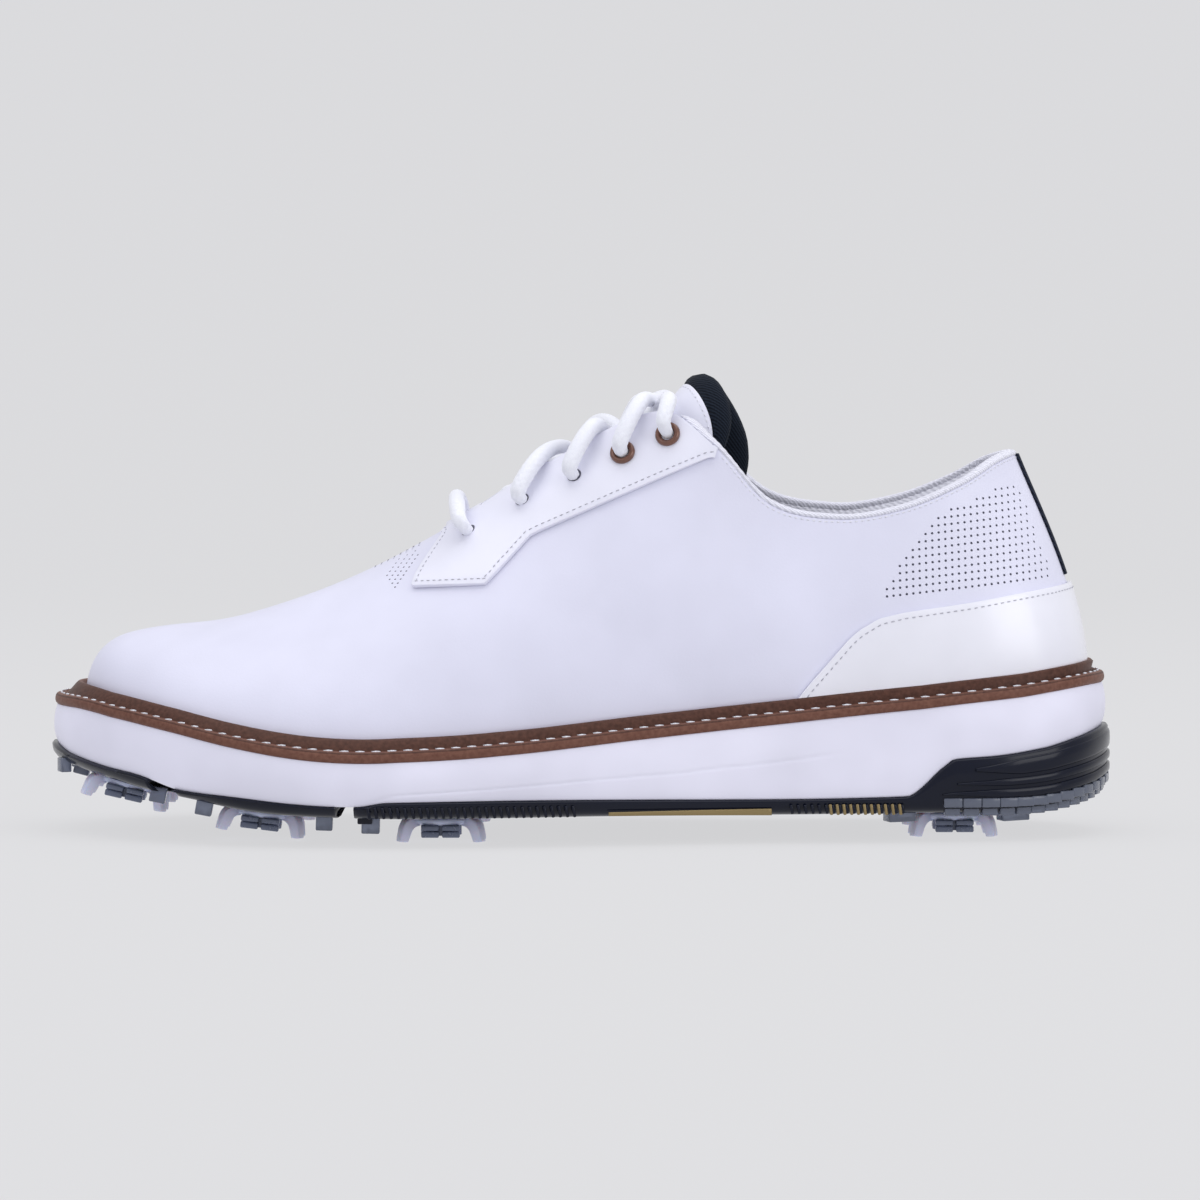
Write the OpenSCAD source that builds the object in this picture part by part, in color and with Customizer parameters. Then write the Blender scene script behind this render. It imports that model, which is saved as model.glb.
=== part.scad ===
// Golf shoe, left foot, with replaceable twist-in spikes.
// Toe points to -X, heel to +X, outer side to -Y, +Z up. Origin: ground, middle of the sole's box.

/* [Sole] */
// How far the welt's ledge stands out from the upper at mid length
ledge_out = 6.8; // [5:0.1:8]
// Thickness of the outsole mouldings under the foot
plate_t = 4.6; // [4:0.1:5]
// Wall of the cups that the outsole wraps up the toe and the heel
cup_t = 2.2; // [1.6:0.1:3]

/* [Upper] */
// Thickness of the upper leather
leather_t = 1.5; // [1.2:0.1:2]
// Thickness of the eyestay and the heel overlay
overlay_t = 1.2; // [0.8:0.1:1.5]
// Thickness of the lining
lining_t = 1.0; // [0.8:0.1:1.4]
// Diameter of the lace where it lies free
lace_d = 4.4; // [3.5:0.1:5]

/* [Spikes] */
// Diameter over the tips of the legs
spike_d = 26.4; // [24:0.2:28]
// Height of a spike below the sole
spike_h = 7.4; // [6.5:0.1:8]
// Number of legs on a spike
leg_count = 8; // [6:1:9]

/* [Hidden] */
gap = 0.06;                       // between layers that follow the same surface
sole_gap = 0.2;                   // between the midsole and the outsole, under the cement
around = 60;                      // points round the sole and the upper
shell_levels = 9;                 // levels from the welt to the top of the upper
// Row: foot of the upper x, y; its top edge x, y, z; rise, lean, reach and drop of the wall's two handles
rows = [
  [144.5,   3.0,  124.8,   3.0, 107.3,  20,  0.0,   6, 15],
  [137.5, -17.0,  118.5,  -9.5, 105.0,  20,  1.0,   6, 17],
  [122.0, -27.0,  107.5, -18.0,  98.6,  20,  1.5,   6, 17],
  [ 98.0, -31.0,   91.5, -22.5,  92.2,  20,  2.0,   6, 17],
  [ 70.0, -32.0,   73.0, -24.0,  89.5,  20,  2.5,   6, 18],
  [ 40.0, -34.5,   54.0, -23.0,  93.6,  22,  3.5,   8, 20],
  [  10.0, -39.5,   38.0, -25.0, 110.2,  22,  3.0,   7, 20],
  [ -20.0, -45.0,   22.0, -17.0, 119.0,  20,  3.0,   9, 16],
  [ -50.0, -47.5,   -8.0, -13.0, 104.2,  18,  3.0,  10, 12],
  [ -80.0, -45.0,  -35.0,  -6.0,  86.8,  16,  2.5,  12,  8],
  [-105.0, -36.0,  -64.0,   1.0,  72.2,  14,  1.5,  13,  4],
  [-124.0, -22.0, -95.0,   4.0,  61.2,  13,  1.0,  14,  2],
  [-136.5,  -6.0, -117.0,  6.5,  58.2,  12,  0.5,  12,  1],
  [-141.5,  11.0, -124.0,  9.5,  57.0,  11,  0.0,  10,  1],
  [-137.0,  26.0, -117.0, 12.5,  58.2,  12,  0.5,  12,  1],
  [-125.0,  36.5,  -95.0, 13.0,  61.2,  13,  1.0,  14,  2],
  [-105.0,  44.0,  -64.0,  11.0,  72.2,  14,  1.5,  14,  4],
  [ -80.0,  47.5,  -35.0,  13.5,  86.8,  16,  2.5,  13,  8],
  [ -50.0,  47.0,   -8.0,  19.0, 104.2,  18,  2.5,  10, 12],
  [ -20.0,  42.5,   22.0,  22.0, 119.0,  20,  2.5,   8, 16],
  [  10.0,  36.0,   38.0,  30.0, 111.0,  22,  2.5,   6, 20],
  [ 40.0,  32.0,   54.0,  27.5,  95.6,  22,  2.0,   8, 20],
  [ 70.0,  31.5,   73.0,  28.5,  91.5,  20,  2.0,   6, 18],
  [ 98.0,  32.5,   91.5,  28.0,  93.6,  20,  2.0,   6, 17],
  [122.0,  30.5,  107.5,  24.0,  99.4,  20,  1.5,   6, 17],
  [137.5,  21.5,  118.5,  15.5, 105.2,  20,  1.0,   6, 17]];
// Heights along the shoe: where the upper meets the welt, under the welt, and under the sole
feather = [[-142, 41.2], [-131, 39.5], [-112, 36.1], [-96, 32.6], [-79, 29.8], [-64, 28.6], [-50, 28.8],
           [-21, 30.5], [17, 34.4], [58, 38.5], [96, 42.4], [124, 45.4], [145, 48.0]];
welt_drop = 5.4;
sole_low = [[-151, 24.5], [-147, 21.4], [-140, 19.4], [-127, 16.4], [-114, 13.6], [-107, 12.4], [-93, 9.8],
            [-82, 8.5], [-70, 7.9], [-50, 7.5], [0, 7.6], [60, 7.4], [95, 7.7], [118, 7.6], [129, 8.2],
            [140, 10.6], [146, 13.4], [151, 18]];
// Edge of the outsole against the midsole, along the shoe
pod_edge = [[-151, 34.5], [-149, 30.5], [-144, 26.2], [-137, 22.5], [-127, 19.9], [-117, 18], [-107, 14.6],
            [-93, 13.2], [-75, 11.4], [-60, 10.9], [-53, 12.0], [-21, 12.4], [92, 12.4], [103, 21.6],
            [106, 22.8], [117, 23.6], [129, 25.5], [137, 28], [144, 30.2], [151, 32.4]];

spike_ids = [0, 1, 2, 3, 4, 5, 6, 7];
// Spikes: x, y, height of the socket's face, and tilt toward the toe in degrees
spikes = [[-127, -9, 16.2, 13], [-127, 23, 16.2, 13], [-88, -26, 9.2, 7], [-88, 31, 9.2, 7],
          [-38, -31, spike_h, 0], [-38, 31, spike_h, 0], [106, -14, spike_h, 0], [106, 21, spike_h, 0]];

// --- Curves -------------------------------------------------------------------------------------
function mix(a, b, t) = a + (b - a) * t;
function curve(a, b, c, d, t) =
  0.5 * (2 * b + (c - a) * t + (2 * a - 5 * b + 4 * c - d) * t * t + (3 * b - a - 3 * c + d) * t * t * t);
// Smooth closed run through the rows; u goes from 0 at the heel, past the outer side, back to 1
function row_at(u) = let (n = len(rows), s = (u - floor(u)) * n, i = floor(s), t = s - i)
  curve(rows[(i + n - 1) % n], rows[i % n], rows[(i + 1) % n], rows[(i + 2) % n], t);
// Smooth height along x, from a list of [x, z]
function span_of(p, x, i = 0) = (i >= len(p) - 2 || x < p[i + 1].x) ? i : span_of(p, x, i + 1);
function height(p, x) = let (q = min(max(x, p[0].x), p[len(p) - 1].x), i = span_of(p, q), n = len(p),
    t = (q - p[i].x) / (p[i + 1].x - p[i].x))
  curve(p[max(i - 1, 0)].y, p[i].y, p[i + 1].y, p[min(i + 2, n - 1)].y, t);
function unit(v) = v / max(norm(v), 1e-9);
function foot_at(u) = let (r = row_at(u)) [r[0], r[1]];
function out_at(u) = let (d = foot_at(u + 0.002) - foot_at(u - 0.002)) unit([-d.y, d.x]);
// Plan outline at a distance outside the foot of the upper
function plan(u, off) = foot_at(u) + out_at(u) * off;
function ledge_at(u) = ledge_out - 0.01 * foot_at(u).x;
// u at which the outline passes x, on the outer side (0 to 0.5) or the inner side (0.5 to 1)
function u_at(x, lo, hi, n = 18) = n == 0 ? (lo + hi) / 2 : let (m = (lo + hi) / 2, f = foot_at(m).x > x)
  (f == (lo < 0.5)) ? u_at(x, m, hi, n - 1) : u_at(x, lo, m, n - 1);
// Paired lists of u: outer side then inner side, so that number i faces number last - i
function full_run(n) = [for (i = [0 : n - 1]) (i + 0.5) / n];
function x_run(x0, x1, n) = let (a = u_at(x0, 0.01, 0.49), b = u_at(x1, 0.01, 0.49),
    c = u_at(x1, 0.51, 0.99), d = u_at(x0, 0.51, 0.99))
  concat([for (i = [0 : n]) mix(a, b, i / n)], [for (i = [0 : n]) mix(c, d, i / n)]);
function toe_run(x0, n) = let (a = u_at(x0, 0.01, 0.49), d = u_at(x0, 0.51, 0.99))
  concat([for (i = [0 : n]) mix(a, 0.492, i / n)], [for (i = [0 : n]) mix(0.508, d, i / n)]);
function heel_run(x0, n) = let (a = u_at(x0, 0.01, 0.49), d = u_at(x0, 0.51, 0.99))
  concat([for (i = [0 : n]) mix(0.008, a, i / n)], [for (i = [0 : n]) mix(d, 0.992, i / n)]);

// --- Solids from rings --------------------------------------------------------------------------
function quad(a, b, c, d) = [[a, b, c], [a, c, d]];
function flat1(l) = [for (a = l) for (b = a) b];
function side_faces(p, k0, k1) = flat1([for (i = [0 : p - 1])
  quad(k0 * p + i, k0 * p + (i + 1) % p, k1 * p + (i + 1) % p, k1 * p + i)]);
function cap_faces(p, k, flip) = flat1([for (i = [0 : p / 2 - 2]) let (a = k * p + i, b = k * p + i + 1,
  c = k * p + p - 2 - i, d = k * p + p - 1 - i) flip ? quad(d, c, b, a) : quad(a, b, c, d)]);
// A stack of rings closed by zipped caps
module stack(rings) {
  p = len(rings[0]);
  n = len(rings);
  polyhedron(points = flat1(rings), convexity = 6,
    faces = concat(flat1([for (k = [0 : n - 2]) side_faces(p, k, k + 1)]),
      cap_faces(p, 0, true), cap_faces(p, n - 1, false)));
}
// Rings that close on themselves, as on a welt or a tube bent round
module loop(rings) {
  p = len(rings[0]);
  n = len(rings);
  polyhedron(points = flat1(rings), convexity = 6,
    faces = flat1([for (k = [0 : n - 1]) side_faces(p, (k + 1) % n, k)]));
}

// --- The wall of the upper ----------------------------------------------------------------------
// Point on the outside of the leather; v runs from 0 at the welt to 1 at the top edge
function skin(u, v) = let (r = row_at(u), n = out_at(u), b = [r[0], r[1], z_ledge(r[0]) + gap],
    t = [r[2], r[3], r[4]], m = unit([b.x - t.x, b.y - t.y]),
    c = b + [n.x * r[6], n.y * r[6], r[5] + 4], d = t + [m.x * r[7], m.y * r[7], -r[8]], w = 1 - v)
  b * w * w * w + c * 3 * w * w * v + d * 3 * w * v * v + t * v * v * v;
function skin_out(u, v) = let (a = max(v - 0.01, 0), b = min(v + 0.01, 1))
  unit(cross(skin(u, b) - skin(u, a), skin(u + 0.003, v) - skin(u - 0.003, v)));
// Point at a depth under the outside of the leather
function under(u, v, depth) = skin(u, v) - skin_out(u, v) * depth;
// Swell of the padded collar under the lining
function swell(u, v) = let (w = u - floor(u), s = min(w, 1 - w), a = min(max((0.185 - s) / 0.05, 0), 1),
    b = min(max((v - 0.66) / 0.34, 0), 1))
  4.5 * a * sin(180 * b);
layer = 1.1;                      // stiffeners between the leather and the lining
depth_layer = leather_t + gap;
depth_lining = depth_layer + layer + gap;
throat_u = 8.7 / 26;              // front end of the lacing gap
// A sheet of the wall: u list, depths outside and inside, open at the collar and the throat
module wall_shell(us, levels, d0, d1, pad = 0) {
  p = len(us);
  vs = [for (k = [0 : levels]) k / levels];
  m = levels + 1;
  pts = concat(flat1([for (v = vs) [for (u = us) under(u, v, d0 + pad * swell(u, v))]]),
    flat1([for (v = vs) [for (u = us) under(u, v, d1 + pad * swell(u, v))]]));
  closed = [for (i = [0 : p / 2 - 1]) if (us[i] >= throat_u) i];
  f = closed[0];
  top = (m - 1) * p;
  inn = m * p;
  walls = flat1([for (k = [0 : levels - 1]) flat1([for (i = [0 : p - 1]) let (j = (i + 1) % p)
    concat(quad(k * p + i, k * p + j, (k + 1) * p + j, (k + 1) * p + i),
      quad(inn + k * p + i, inn + (k + 1) * p + i, inn + (k + 1) * p + j, inn + k * p + j))])]);
  hem = flat1([for (i = [0 : p - 1]) let (j = (i + 1) % p) quad(inn + i, inn + j, j, i)]);
  rim = flat1([for (i = [0 : p - 1]) let (j = (i + 1) % p)
    if (i < f || i >= p - 1 - f) quad(top + i, top + j, inn + top + j, inn + top + i)]);
  vamp = flat1([for (i = [f : p / 2 - 2]) let (a = top + i, b = a + 1, c = top + p - 2 - i, d = c + 1)
    concat(quad(a, b, c, d), quad(inn + d, inn + c, inn + b, inn + a))]);
  throat = quad(top + f, top + p - 1 - f, inn + top + p - 1 - f, inn + top + f);
  polyhedron(points = pts, faces = concat(walls, hem, rim, vamp, throat), convexity = 10);
}
// A patch of the wall: for each u the run of v from low to high, between two depths
module wall_patch(us, low, high, levels, d0, d1) {
  n = len(us);
  m = levels + 1;
  pts = flat1([for (d = [0, 1]) flat1([for (k = [0 : levels]) [for (i = [0 : n - 1])
    let (v = mix(low[i], high[i], k / levels)) under(us[i], v, d == 0 ? d0 : d1[i][k])]])]);
  inn = m * n;
  faces = concat(
    flat1([for (k = [0 : levels - 1]) flat1([for (i = [0 : n - 2]) let (a = k * n + i, b = a + n)
      concat(quad(a, a + 1, b + 1, b), quad(inn + a, inn + b, inn + b + 1, inn + a + 1))])]),
    flat1([for (i = [0 : n - 2]) let (t = levels * n + i)
      concat(quad(inn + i, inn + i + 1, i + 1, i), quad(t, t + 1, inn + t + 1, inn + t))]),
    flat1([for (k = [0 : levels - 1]) let (a = k * n, b = a + n, c = a + n - 1, d = b + n - 1)
      concat(quad(a, b, inn + b, inn + a), quad(d, c, inn + c, inn + d))]));
  polyhedron(points = pts, faces = faces, convexity = 10);
}
function steps(a, b, n) = [for (i = [0 : n]) mix(a, b, i / n)];
function flat_depth(n, levels, d) = [for (i = [0 : n]) [for (k = [0 : levels]) d]];
// v at which the wall crosses a line of heights over x
function v_at(u, line, lo = 0, hi = 1, n = 12) = n == 0 ? (lo + hi) / 2 :
  let (m = (lo + hi) / 2, q = skin(u, m))
  q.z < lookup(q.x, line) ? v_at(u, line, m, hi, n - 1) : v_at(u, line, lo, m, n - 1);
// v at which the wall enters the eyestay outline: above its lower line and behind its front slant
slant = [-47.3, 70.1, 1.47];
eyestay_line = [[-47.3, 70.1], [-24.4, 71.4], [-20.8, 73.4], [-18.7, 78.2], [-16.8, 82.3], [-12.4, 85.1],
  [37.3, 106.9], [60, 117]];
function v_in(u, lo = 0, hi = 1, n = 12) = n == 0 ? (lo + hi) / 2 : let (m = (lo + hi) / 2, q = skin(u, m),
    inside = q.z > lookup(q.x, eyestay_line) && q.z < slant[1] + slant[2] * (q.x - slant[0]))
  inside ? v_in(u, lo, m, n - 1) : v_in(u, m, hi, n - 1);
// u and v of the wall point with a given x and z
function u_over(x, z, lo, hi, n = 14) = n == 0 ? (lo + hi) / 2 : let (m = (lo + hi) / 2,
    q = skin(m, v_at(m, [[-200, z], [200, z]])))
  ((q.x > x) == (lo < 0.5)) ? u_over(x, z, m, hi, n - 1) : u_over(x, z, lo, m, n - 1);

// --- Sole ---------------------------------------------------------------------------------------
function sole_ring(us, off, zf) = [for (u = us) let (q = plan(u, ledge_at(u) + off)) [q.x, q.y, zf(q.x)]];
// The outsole stands a little proud of the midsole at the toe and the heel
function cup_ring(us, off, zf) = [for (u = us) let (x = foot_at(u).x, e = 1.1 * pow(x / 145, 8),
    q = plan(u, ledge_at(u) + off + e)) [q.x, q.y, zf(q.x)]];
function z_low(x) = height(sole_low, x);
function z_edge(x) = height(pod_edge, x);
function z_ledge(x) = height(feather, x) - welt_drop;
low_z = function (x) z_low(x);
edge_z = function (x) z_edge(x);
module site(i) {
  translate([spikes[i].x, spikes[i].y, spikes[i].z]) rotate([0, spikes[i][3], 0]) children();
}
module socket_pockets(ids) {
  for (i = ids) site(i) translate([0, 0, -4]) cylinder(r = 7 + gap, h = 10.4, $fn = 48);
}
// An outsole moulding: bottom, rolled edge, and a wall that cups the midsole where the edge is high
module outsole(us) {
  stack([
    cup_ring(us, -7.5, low_z),
    cup_ring(us, -3.2, function (x) z_low(x) + 0.4),
    cup_ring(us, -0.8, function (x) z_low(x) + 2.0),
    cup_ring(us, 0.3, function (x) mix(z_low(x) + 3.2, z_edge(x), 0.5)),
    cup_ring(us, 0.3, edge_z),
    cup_ring(us, -cup_t, function (x) z_edge(x) + 0.3),
    cup_ring(us, -cup_t - 0.4, function (x) min(z_low(x) + plate_t + 1.2, z_edge(x))),
    cup_ring(us, -cup_t - 2.6, function (x) min(z_low(x) + plate_t, z_edge(x) - 0.3))]);
}

module bored(ids) {
  difference() {
    children();
    socket_pockets(ids);
  }
}
module lug(x, y, r, h) { translate([x, y, z_low(x) - h + 1.2]) cylinder(r = r, h = h, $fn = 24); }
tpu = [0.12, 0.15, 0.22];
module toe_pod() {
  color(tpu) bored([0, 1]) outsole(toe_run(-114.5, 16));
}
module forefoot_pod() {
  color(tpu) bored([2, 3]) outsole(x_run(-66, -107.5, 9));
  color(tpu) for (y = [-38, -8, 12, 42]) lug(-105, y * 0.9, 2.2, 4);
  color(tpu) for (y = [-44, -6, 10, 46]) lug(-71, y, 2.4, 4);
}
module main_outsole() {
  color(tpu) difference() {
    outsole(heel_run(-61, 34));
    socket_pockets([4, 5, 6, 7]);
    shank_shape(0.1);
  }
  color(tpu) for (y = [-46, -8, 10, 46]) lug(-57, y, 2.6, 4);
}
// Springy plate let into the bottom of the waist
module shank_shape(clear) {
  translate([0, 0, 8.2 - clear]) linear_extrude(1.6 + 2 * clear)
    offset_box(-2, 99, 13, clear);
}
module offset_box(x0, x1, w, clear) {
  translate([x0 - clear, 3 - w - clear]) square([x1 - x0 + 2 * clear, 2 * (w + clear)]);
}
module shank() { color([0.72, 0.6, 0.34]) shank_shape(0); }
module midsole() {
  us = full_run(around);
  color([0.94, 0.94, 0.96]) difference() {
    stack([
      cup_ring(us, -cup_t - 3.2, function (x) min(z_low(x) + plate_t, z_edge(x) - 0.3) + sole_gap),
      cup_ring(us, -cup_t - 0.7, function (x) min(z_low(x) + plate_t + 1.2, z_edge(x)) + sole_gap),
      cup_ring(us, -cup_t - 0.2, function (x) z_edge(x) + 0.3 + sole_gap),
      sole_ring(us, -0.2, function (x) z_edge(x) + 0.6),
      sole_ring(us, 0.6, function (x) mix(z_edge(x), z_ledge(x), 0.5)),
      sole_ring(us, 0.2, function (x) z_ledge(x) - 1.2),
      sole_ring(us, -0.6, function (x) z_ledge(x) - gap)]);
    socket_pockets(spike_ids);
  }
}
// --- Welt, board and sockliner ------------------------------------------------------------------
function welt_ring(u) = let (w = ledge_at(u), z = z_ledge(foot_at(u).x),
    a = function (off, up) let (q = plan(u, w + off)) [q.x, q.y, z_ledge(q.x) + up],
    o = out_at(u), n = [o.x, o.y, 0] * 0.12, foot = plan(u, 0.12))
  [a(-0.2, 0.15), a(0.25, 0.6), a(0.4, 2.0), a(0.1, 3.6), a(-0.6, 4.0), a(-2.1, 4.0), a(-2.6, 3.5),
   a(-3.3, 3.5), a(-3.7, 4.2), a(-w + 2.0, 5.4), a(-w + 1.3, 5.7), skin(u, 0.08) + n,
   [foot.x, foot.y, z + 0.15]];
module welt() { color([0.45, 0.29, 0.22]) loop([for (u = full_run(around)) welt_ring(u)]); }
// Thread lying along the welt's groove
thread_r = 0.42;
function thread_ring(u) =
  let (q = plan(u, ledge_at(u) - 2.95), o = out_at(u) * thread_r, z = z_ledge(q.x) + 4)
  [for (a = [0 : 60 : 300]) [q.x + o.x * cos(a), q.y + o.y * cos(a), z + thread_r * sin(a)]];
module welt_thread() { color([0.9, 0.88, 0.82]) loop([for (u = full_run(around)) thread_ring(u)]); }
inner_off = -(depth_lining + lining_t + 0.7);
function bed_ring(us, off, up) =
  [for (u = us) let (q = plan(u, inner_off + off)) [q.x, q.y, z_ledge(q.x) + up]];
module lasting_board() {
  us = full_run(around);
  color([0.82, 0.76, 0.62]) stack([bed_ring(us, 0, 0.15), bed_ring(us, 0, 2.0)]);
}
module sockliner() {
  us = full_run(around);
  color([0.2, 0.24, 0.32]) stack([bed_ring(us, -0.3, 2.1), bed_ring(us, -0.2, 6.6), bed_ring(us, -2.6, 6.9),
    bed_ring(us, -9, 5.9)]);
}
// --- Upper --------------------------------------------------------------------------------------
hole_at = [[-30, 85.2], [-15, 94], [-0.5, 101], [13, 107.4], [25.7, 112.6]];
module lace_holes(r) {
  for (h = hole_at, side = [0, 1]) at_hole(h, side) translate([0, 0, -7]) cylinder(r = r, h = 10, $fn = 24);
}
module upper() {
  color([0.95, 0.95, 0.98]) difference() {
    wall_shell(full_run(around), shell_levels, 0, leather_t);
    lace_holes(2);
  }
}
module lining() {
  color([0.16, 0.2, 0.28]) difference() {
    wall_shell(full_run(around), shell_levels, depth_lining, depth_lining + lining_t, 1);
    lace_holes(2);
  }
}
// The hidden layers share the shell's own grid, so that they nest; low and high count its levels
module layer_sheet(us, low, high, inside) {
  v0 = low / shell_levels;
  v1 = high / shell_levels;
  wall_patch(us, [for (u = us) v0], [for (u = us) v1], high - low, depth_layer,
    [for (u = us) [for (k = [low : high]) inside(u, k / shell_levels)]]);
}
flat_inside = function (u, v) depth_layer + layer;
padded_inside = function (u, v) depth_layer + layer + swell(u, v);
function grid_run(u0, u1) =
  [for (i = [-around : around - 1]) let (u = (i + 0.5) / around) if (u > u0 && u < u1) u];
module toe_puff() { color([0.85, 0.8, 0.7]) layer_sheet(grid_run(0.405, 0.595), 1, 7, flat_inside); }
module heel_counter() { color([0.85, 0.8, 0.7]) layer_sheet(grid_run(-0.16, 0.16), 1, 5, flat_inside); }
module quarter_backing() {
  color([0.8, 0.8, 0.8]) for (run = [[0.172, 0.39], [0.61, 0.828]])
    layer_sheet(grid_run(run[0], run[1]), 1, 5, flat_inside);
}
module heel_overlay() {
  line = [[60.7, 38.9], [63.4, 42.5], [75.7, 56.3], [78.4, 58.6], [84, 61.9], [91, 63.5], [110, 66.1],
    [124, 68.5], [140, 70.9]];
  a = u_over(61.2, 45, 0.05, 0.3);
  us = steps(-a, a, 28);
  color([0.97, 0.97, 0.97]) wall_patch(us, [for (u = us) 0.09], [for (u = us) max(v_at(u, line), 0.12)], 4,
    -overlay_t - 0.15, flat_depth(28, 4, -0.15));
}
module heel_strip() {
  us = steps(-0.013, 0.013, 3);
  line = [[100, 73], [160, 73]];
  color([0.08, 0.11, 0.18]) wall_patch(us, [for (u = us) v_at(u, line)], [for (u = us) 0.99], 5,
    -1.0, flat_depth(3, 5, -0.12));
}
module collar_padding() { color([0.3, 0.3, 0.34]) layer_sheet(grid_run(-0.2, 0.2), 6, 9, padded_inside); }

// Eyestay: a horseshoe round the throat, from a lower edge line up to the throat's edge
module eyestay_sheet(n, levels, d0, d1) {
  a = 6.1 / 26;
  f = 9.06 / 26;
  us = concat(steps(a, f, n), steps(1 - f, 1 - a, n));
  p = len(us);
  m = levels + 1;
  low = [for (u = us) min(v_in(u), 0.96)];
  pts = flat1([for (d = [d0, d1]) flat1([for (k = [0 : levels]) [for (i = [0 : p - 1])
    under(us[i], mix(low[i], 1, k / levels), d)]])]);
  h = p / 2;
  g = [for (i = [0 : h - 1]) if (us[i] >= throat_u) i][0];
  top = levels * p;
  inn = m * p;
  cells = [for (i = [0 : p - 2]) if (i != h - 1) i];
  walls = flat1([for (k = [0 : levels - 1]) flat1([for (i = cells) let (b = k * p + i, c = b + p)
    concat(quad(b, b + 1, c + 1, c), quad(inn + c, inn + c + 1, inn + b + 1, inn + b))])]);
  hem = flat1([for (i = cells) quad(inn + i, inn + i + 1, i + 1, i)]);
  rim = flat1([for (i = cells) let (t = top + i) if (i < g || i >= p - 1 - g)
    quad(t, t + 1, inn + t + 1, inn + t)]);
  vamp = flat1([for (i = [g : h - 2]) let (b = top + i, c = top + p - 2 - i)
    concat(quad(b, b + 1, c, c + 1), quad(inn + c + 1, inn + c, inn + b + 1, inn + b))]);
  throat = quad(top + g, top + p - 1 - g, inn + top + p - 1 - g, inn + top + g);
  back = flat1([for (k = [0 : levels - 1]) let (b = k * p, c = b + p)
    concat(quad(b, c, inn + c, inn + b), quad(inn + b + p - 1, inn + c + p - 1, c + p - 1, b + p - 1))]);
  front = flat1([for (k = [0 : levels - 1]) let (b = k * p + h - 1, c = b + p)
    concat(quad(inn + b, inn + c, c, b), quad(b + 1, c + 1, inn + c + 1, inn + b + 1))]);
  seam = quad(top + h - 1, inn + top + h - 1, inn + top + h, top + h);
  polyhedron(points = pts, faces = concat(walls, hem, rim, vamp, throat, back, front, seam), convexity = 10);
}
module eyestay() {
  color([0.97, 0.97, 0.99]) difference() {
    eyestay_sheet(20, 5, -overlay_t - 0.25, -0.25);
    lace_holes(2);
  }
}

// --- Tongue -------------------------------------------------------------------------------------
// Row along the middle of the tongue: x, z, half width, drop of the sides
tongue_rows = [[-43, 75.5, 9, 3], [-30, 83, 11, 5], [-14, 92.5, 13, 9], [2, 102, 14, 13], [14, 109, 15, 16],
  [24, 116, 16, 18], [30, 123.5, 16.5, 20], [34, 130.6, 16, 20]];
tongue_y = 2.5;
function tongue_row(s) =
  let (n = len(tongue_rows) - 1, q = min(max(s, 0), 0.9999) * n, i = floor(q), t = q - i)
  curve(tongue_rows[max(i - 1, 0)], tongue_rows[i], tongue_rows[i + 1], tongue_rows[min(i + 2, n)], t);
function tongue_pt(s, a, d) = let (r = tongue_row(s), f = d + (r[3] - d) * (1 - cos(a)))
  [r[0] + 0.5 * f, tongue_y + (r[2] - d) * sin(a), r[1] - 0.866 * f];
function tongue_ring(s, n, spread, d0, d1) = concat(
  [for (i = [0 : n]) tongue_pt(s, spread * (2 * i / n - 1), d0)],
  [for (i = [n : -1 : 0]) tongue_pt(s, spread * (2 * i / n - 1), d1)]);
module tongue_face() {
  color([0.93, 0.93, 0.95]) stack([for (s = steps(0, 0.94, 14)) tongue_ring(s, 12, 82, 0, 1.3)]);
}
module tongue_padding() {
  color([0.07, 0.1, 0.16]) stack(concat(
    [for (s = steps(0.12, 0.945, 12)) tongue_ring(s, 12, 84, 1.3 + gap, 3.0 + 3.6 * sin(150 * s))],
    [tongue_ring(0.95, 12, 84, 0.2, 6.4), tongue_ring(0.985, 12, 83, 0.0, 5.4),
     tongue_ring(1, 12, 81, 1.2, 3.6)]));
}
// Folded tape along the collar's rim, from one top corner of the eyestay round the heel to the other
function binding_ring(u) = let (c = under(u, 1, 1.9) + [0, 0, 1.25],
    t = unit(skin(u + 0.004, 1) - skin(u - 0.004, 1)), n = unit(cross(t, [0, 0, 1])), w = cross(n, t))
  [for (a = [0 : -45 : -315]) c + n * 1.7 * cos(a) + w * 0.9 * sin(a)];
module tube(rings) {
  p = len(rings[0]);
  n = len(rings);
  polyhedron(points = flat1(rings), convexity = 8,
    faces = concat(flat1([for (k = [0 : n - 2]) side_faces(p, k + 1, k)]),
      [for (i = [1 : p - 2]) [0, i, i + 1]],
      [for (i = [1 : p - 2]) [(n - 1) * p + i + 1, (n - 1) * p + i, (n - 1) * p]]));
}
module collar_binding() {
  color([0.95, 0.95, 0.97]) tube([for (u = steps(-0.238, 0.238, 46)) binding_ring(u)]);
}
// --- Eyelets and lace ---------------------------------------------------------------------------
module at_hole(h, side) {
  u = side == 0 ? u_over(h.x, h.y, 0.2, 0.42) : u_over(h.x, h.y, 0.58, 0.8);
  v = v_at(u, [[-200, h.y], [200, h.y]]);
  q = skin(u, v);
  n = skin_out(u, v);
  translate(q) rotate([0, acos(n.z), atan2(n.y, n.x)]) children();
}
module eyelets() {
  color([0.43, 0.24, 0.17]) for (k = [3, 4], side = [0, 1]) at_hole(hole_at[k], side) rotate_extrude($fn = 48)
    polygon([[1.7, -3.9], [1.95, -3.9], [1.95, 1.75], [3.6, 1.75], [3.75, 2.0], [3.6, 2.3], [2.6, 2.8],
      [1.8, 2.2]]);
}
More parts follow.
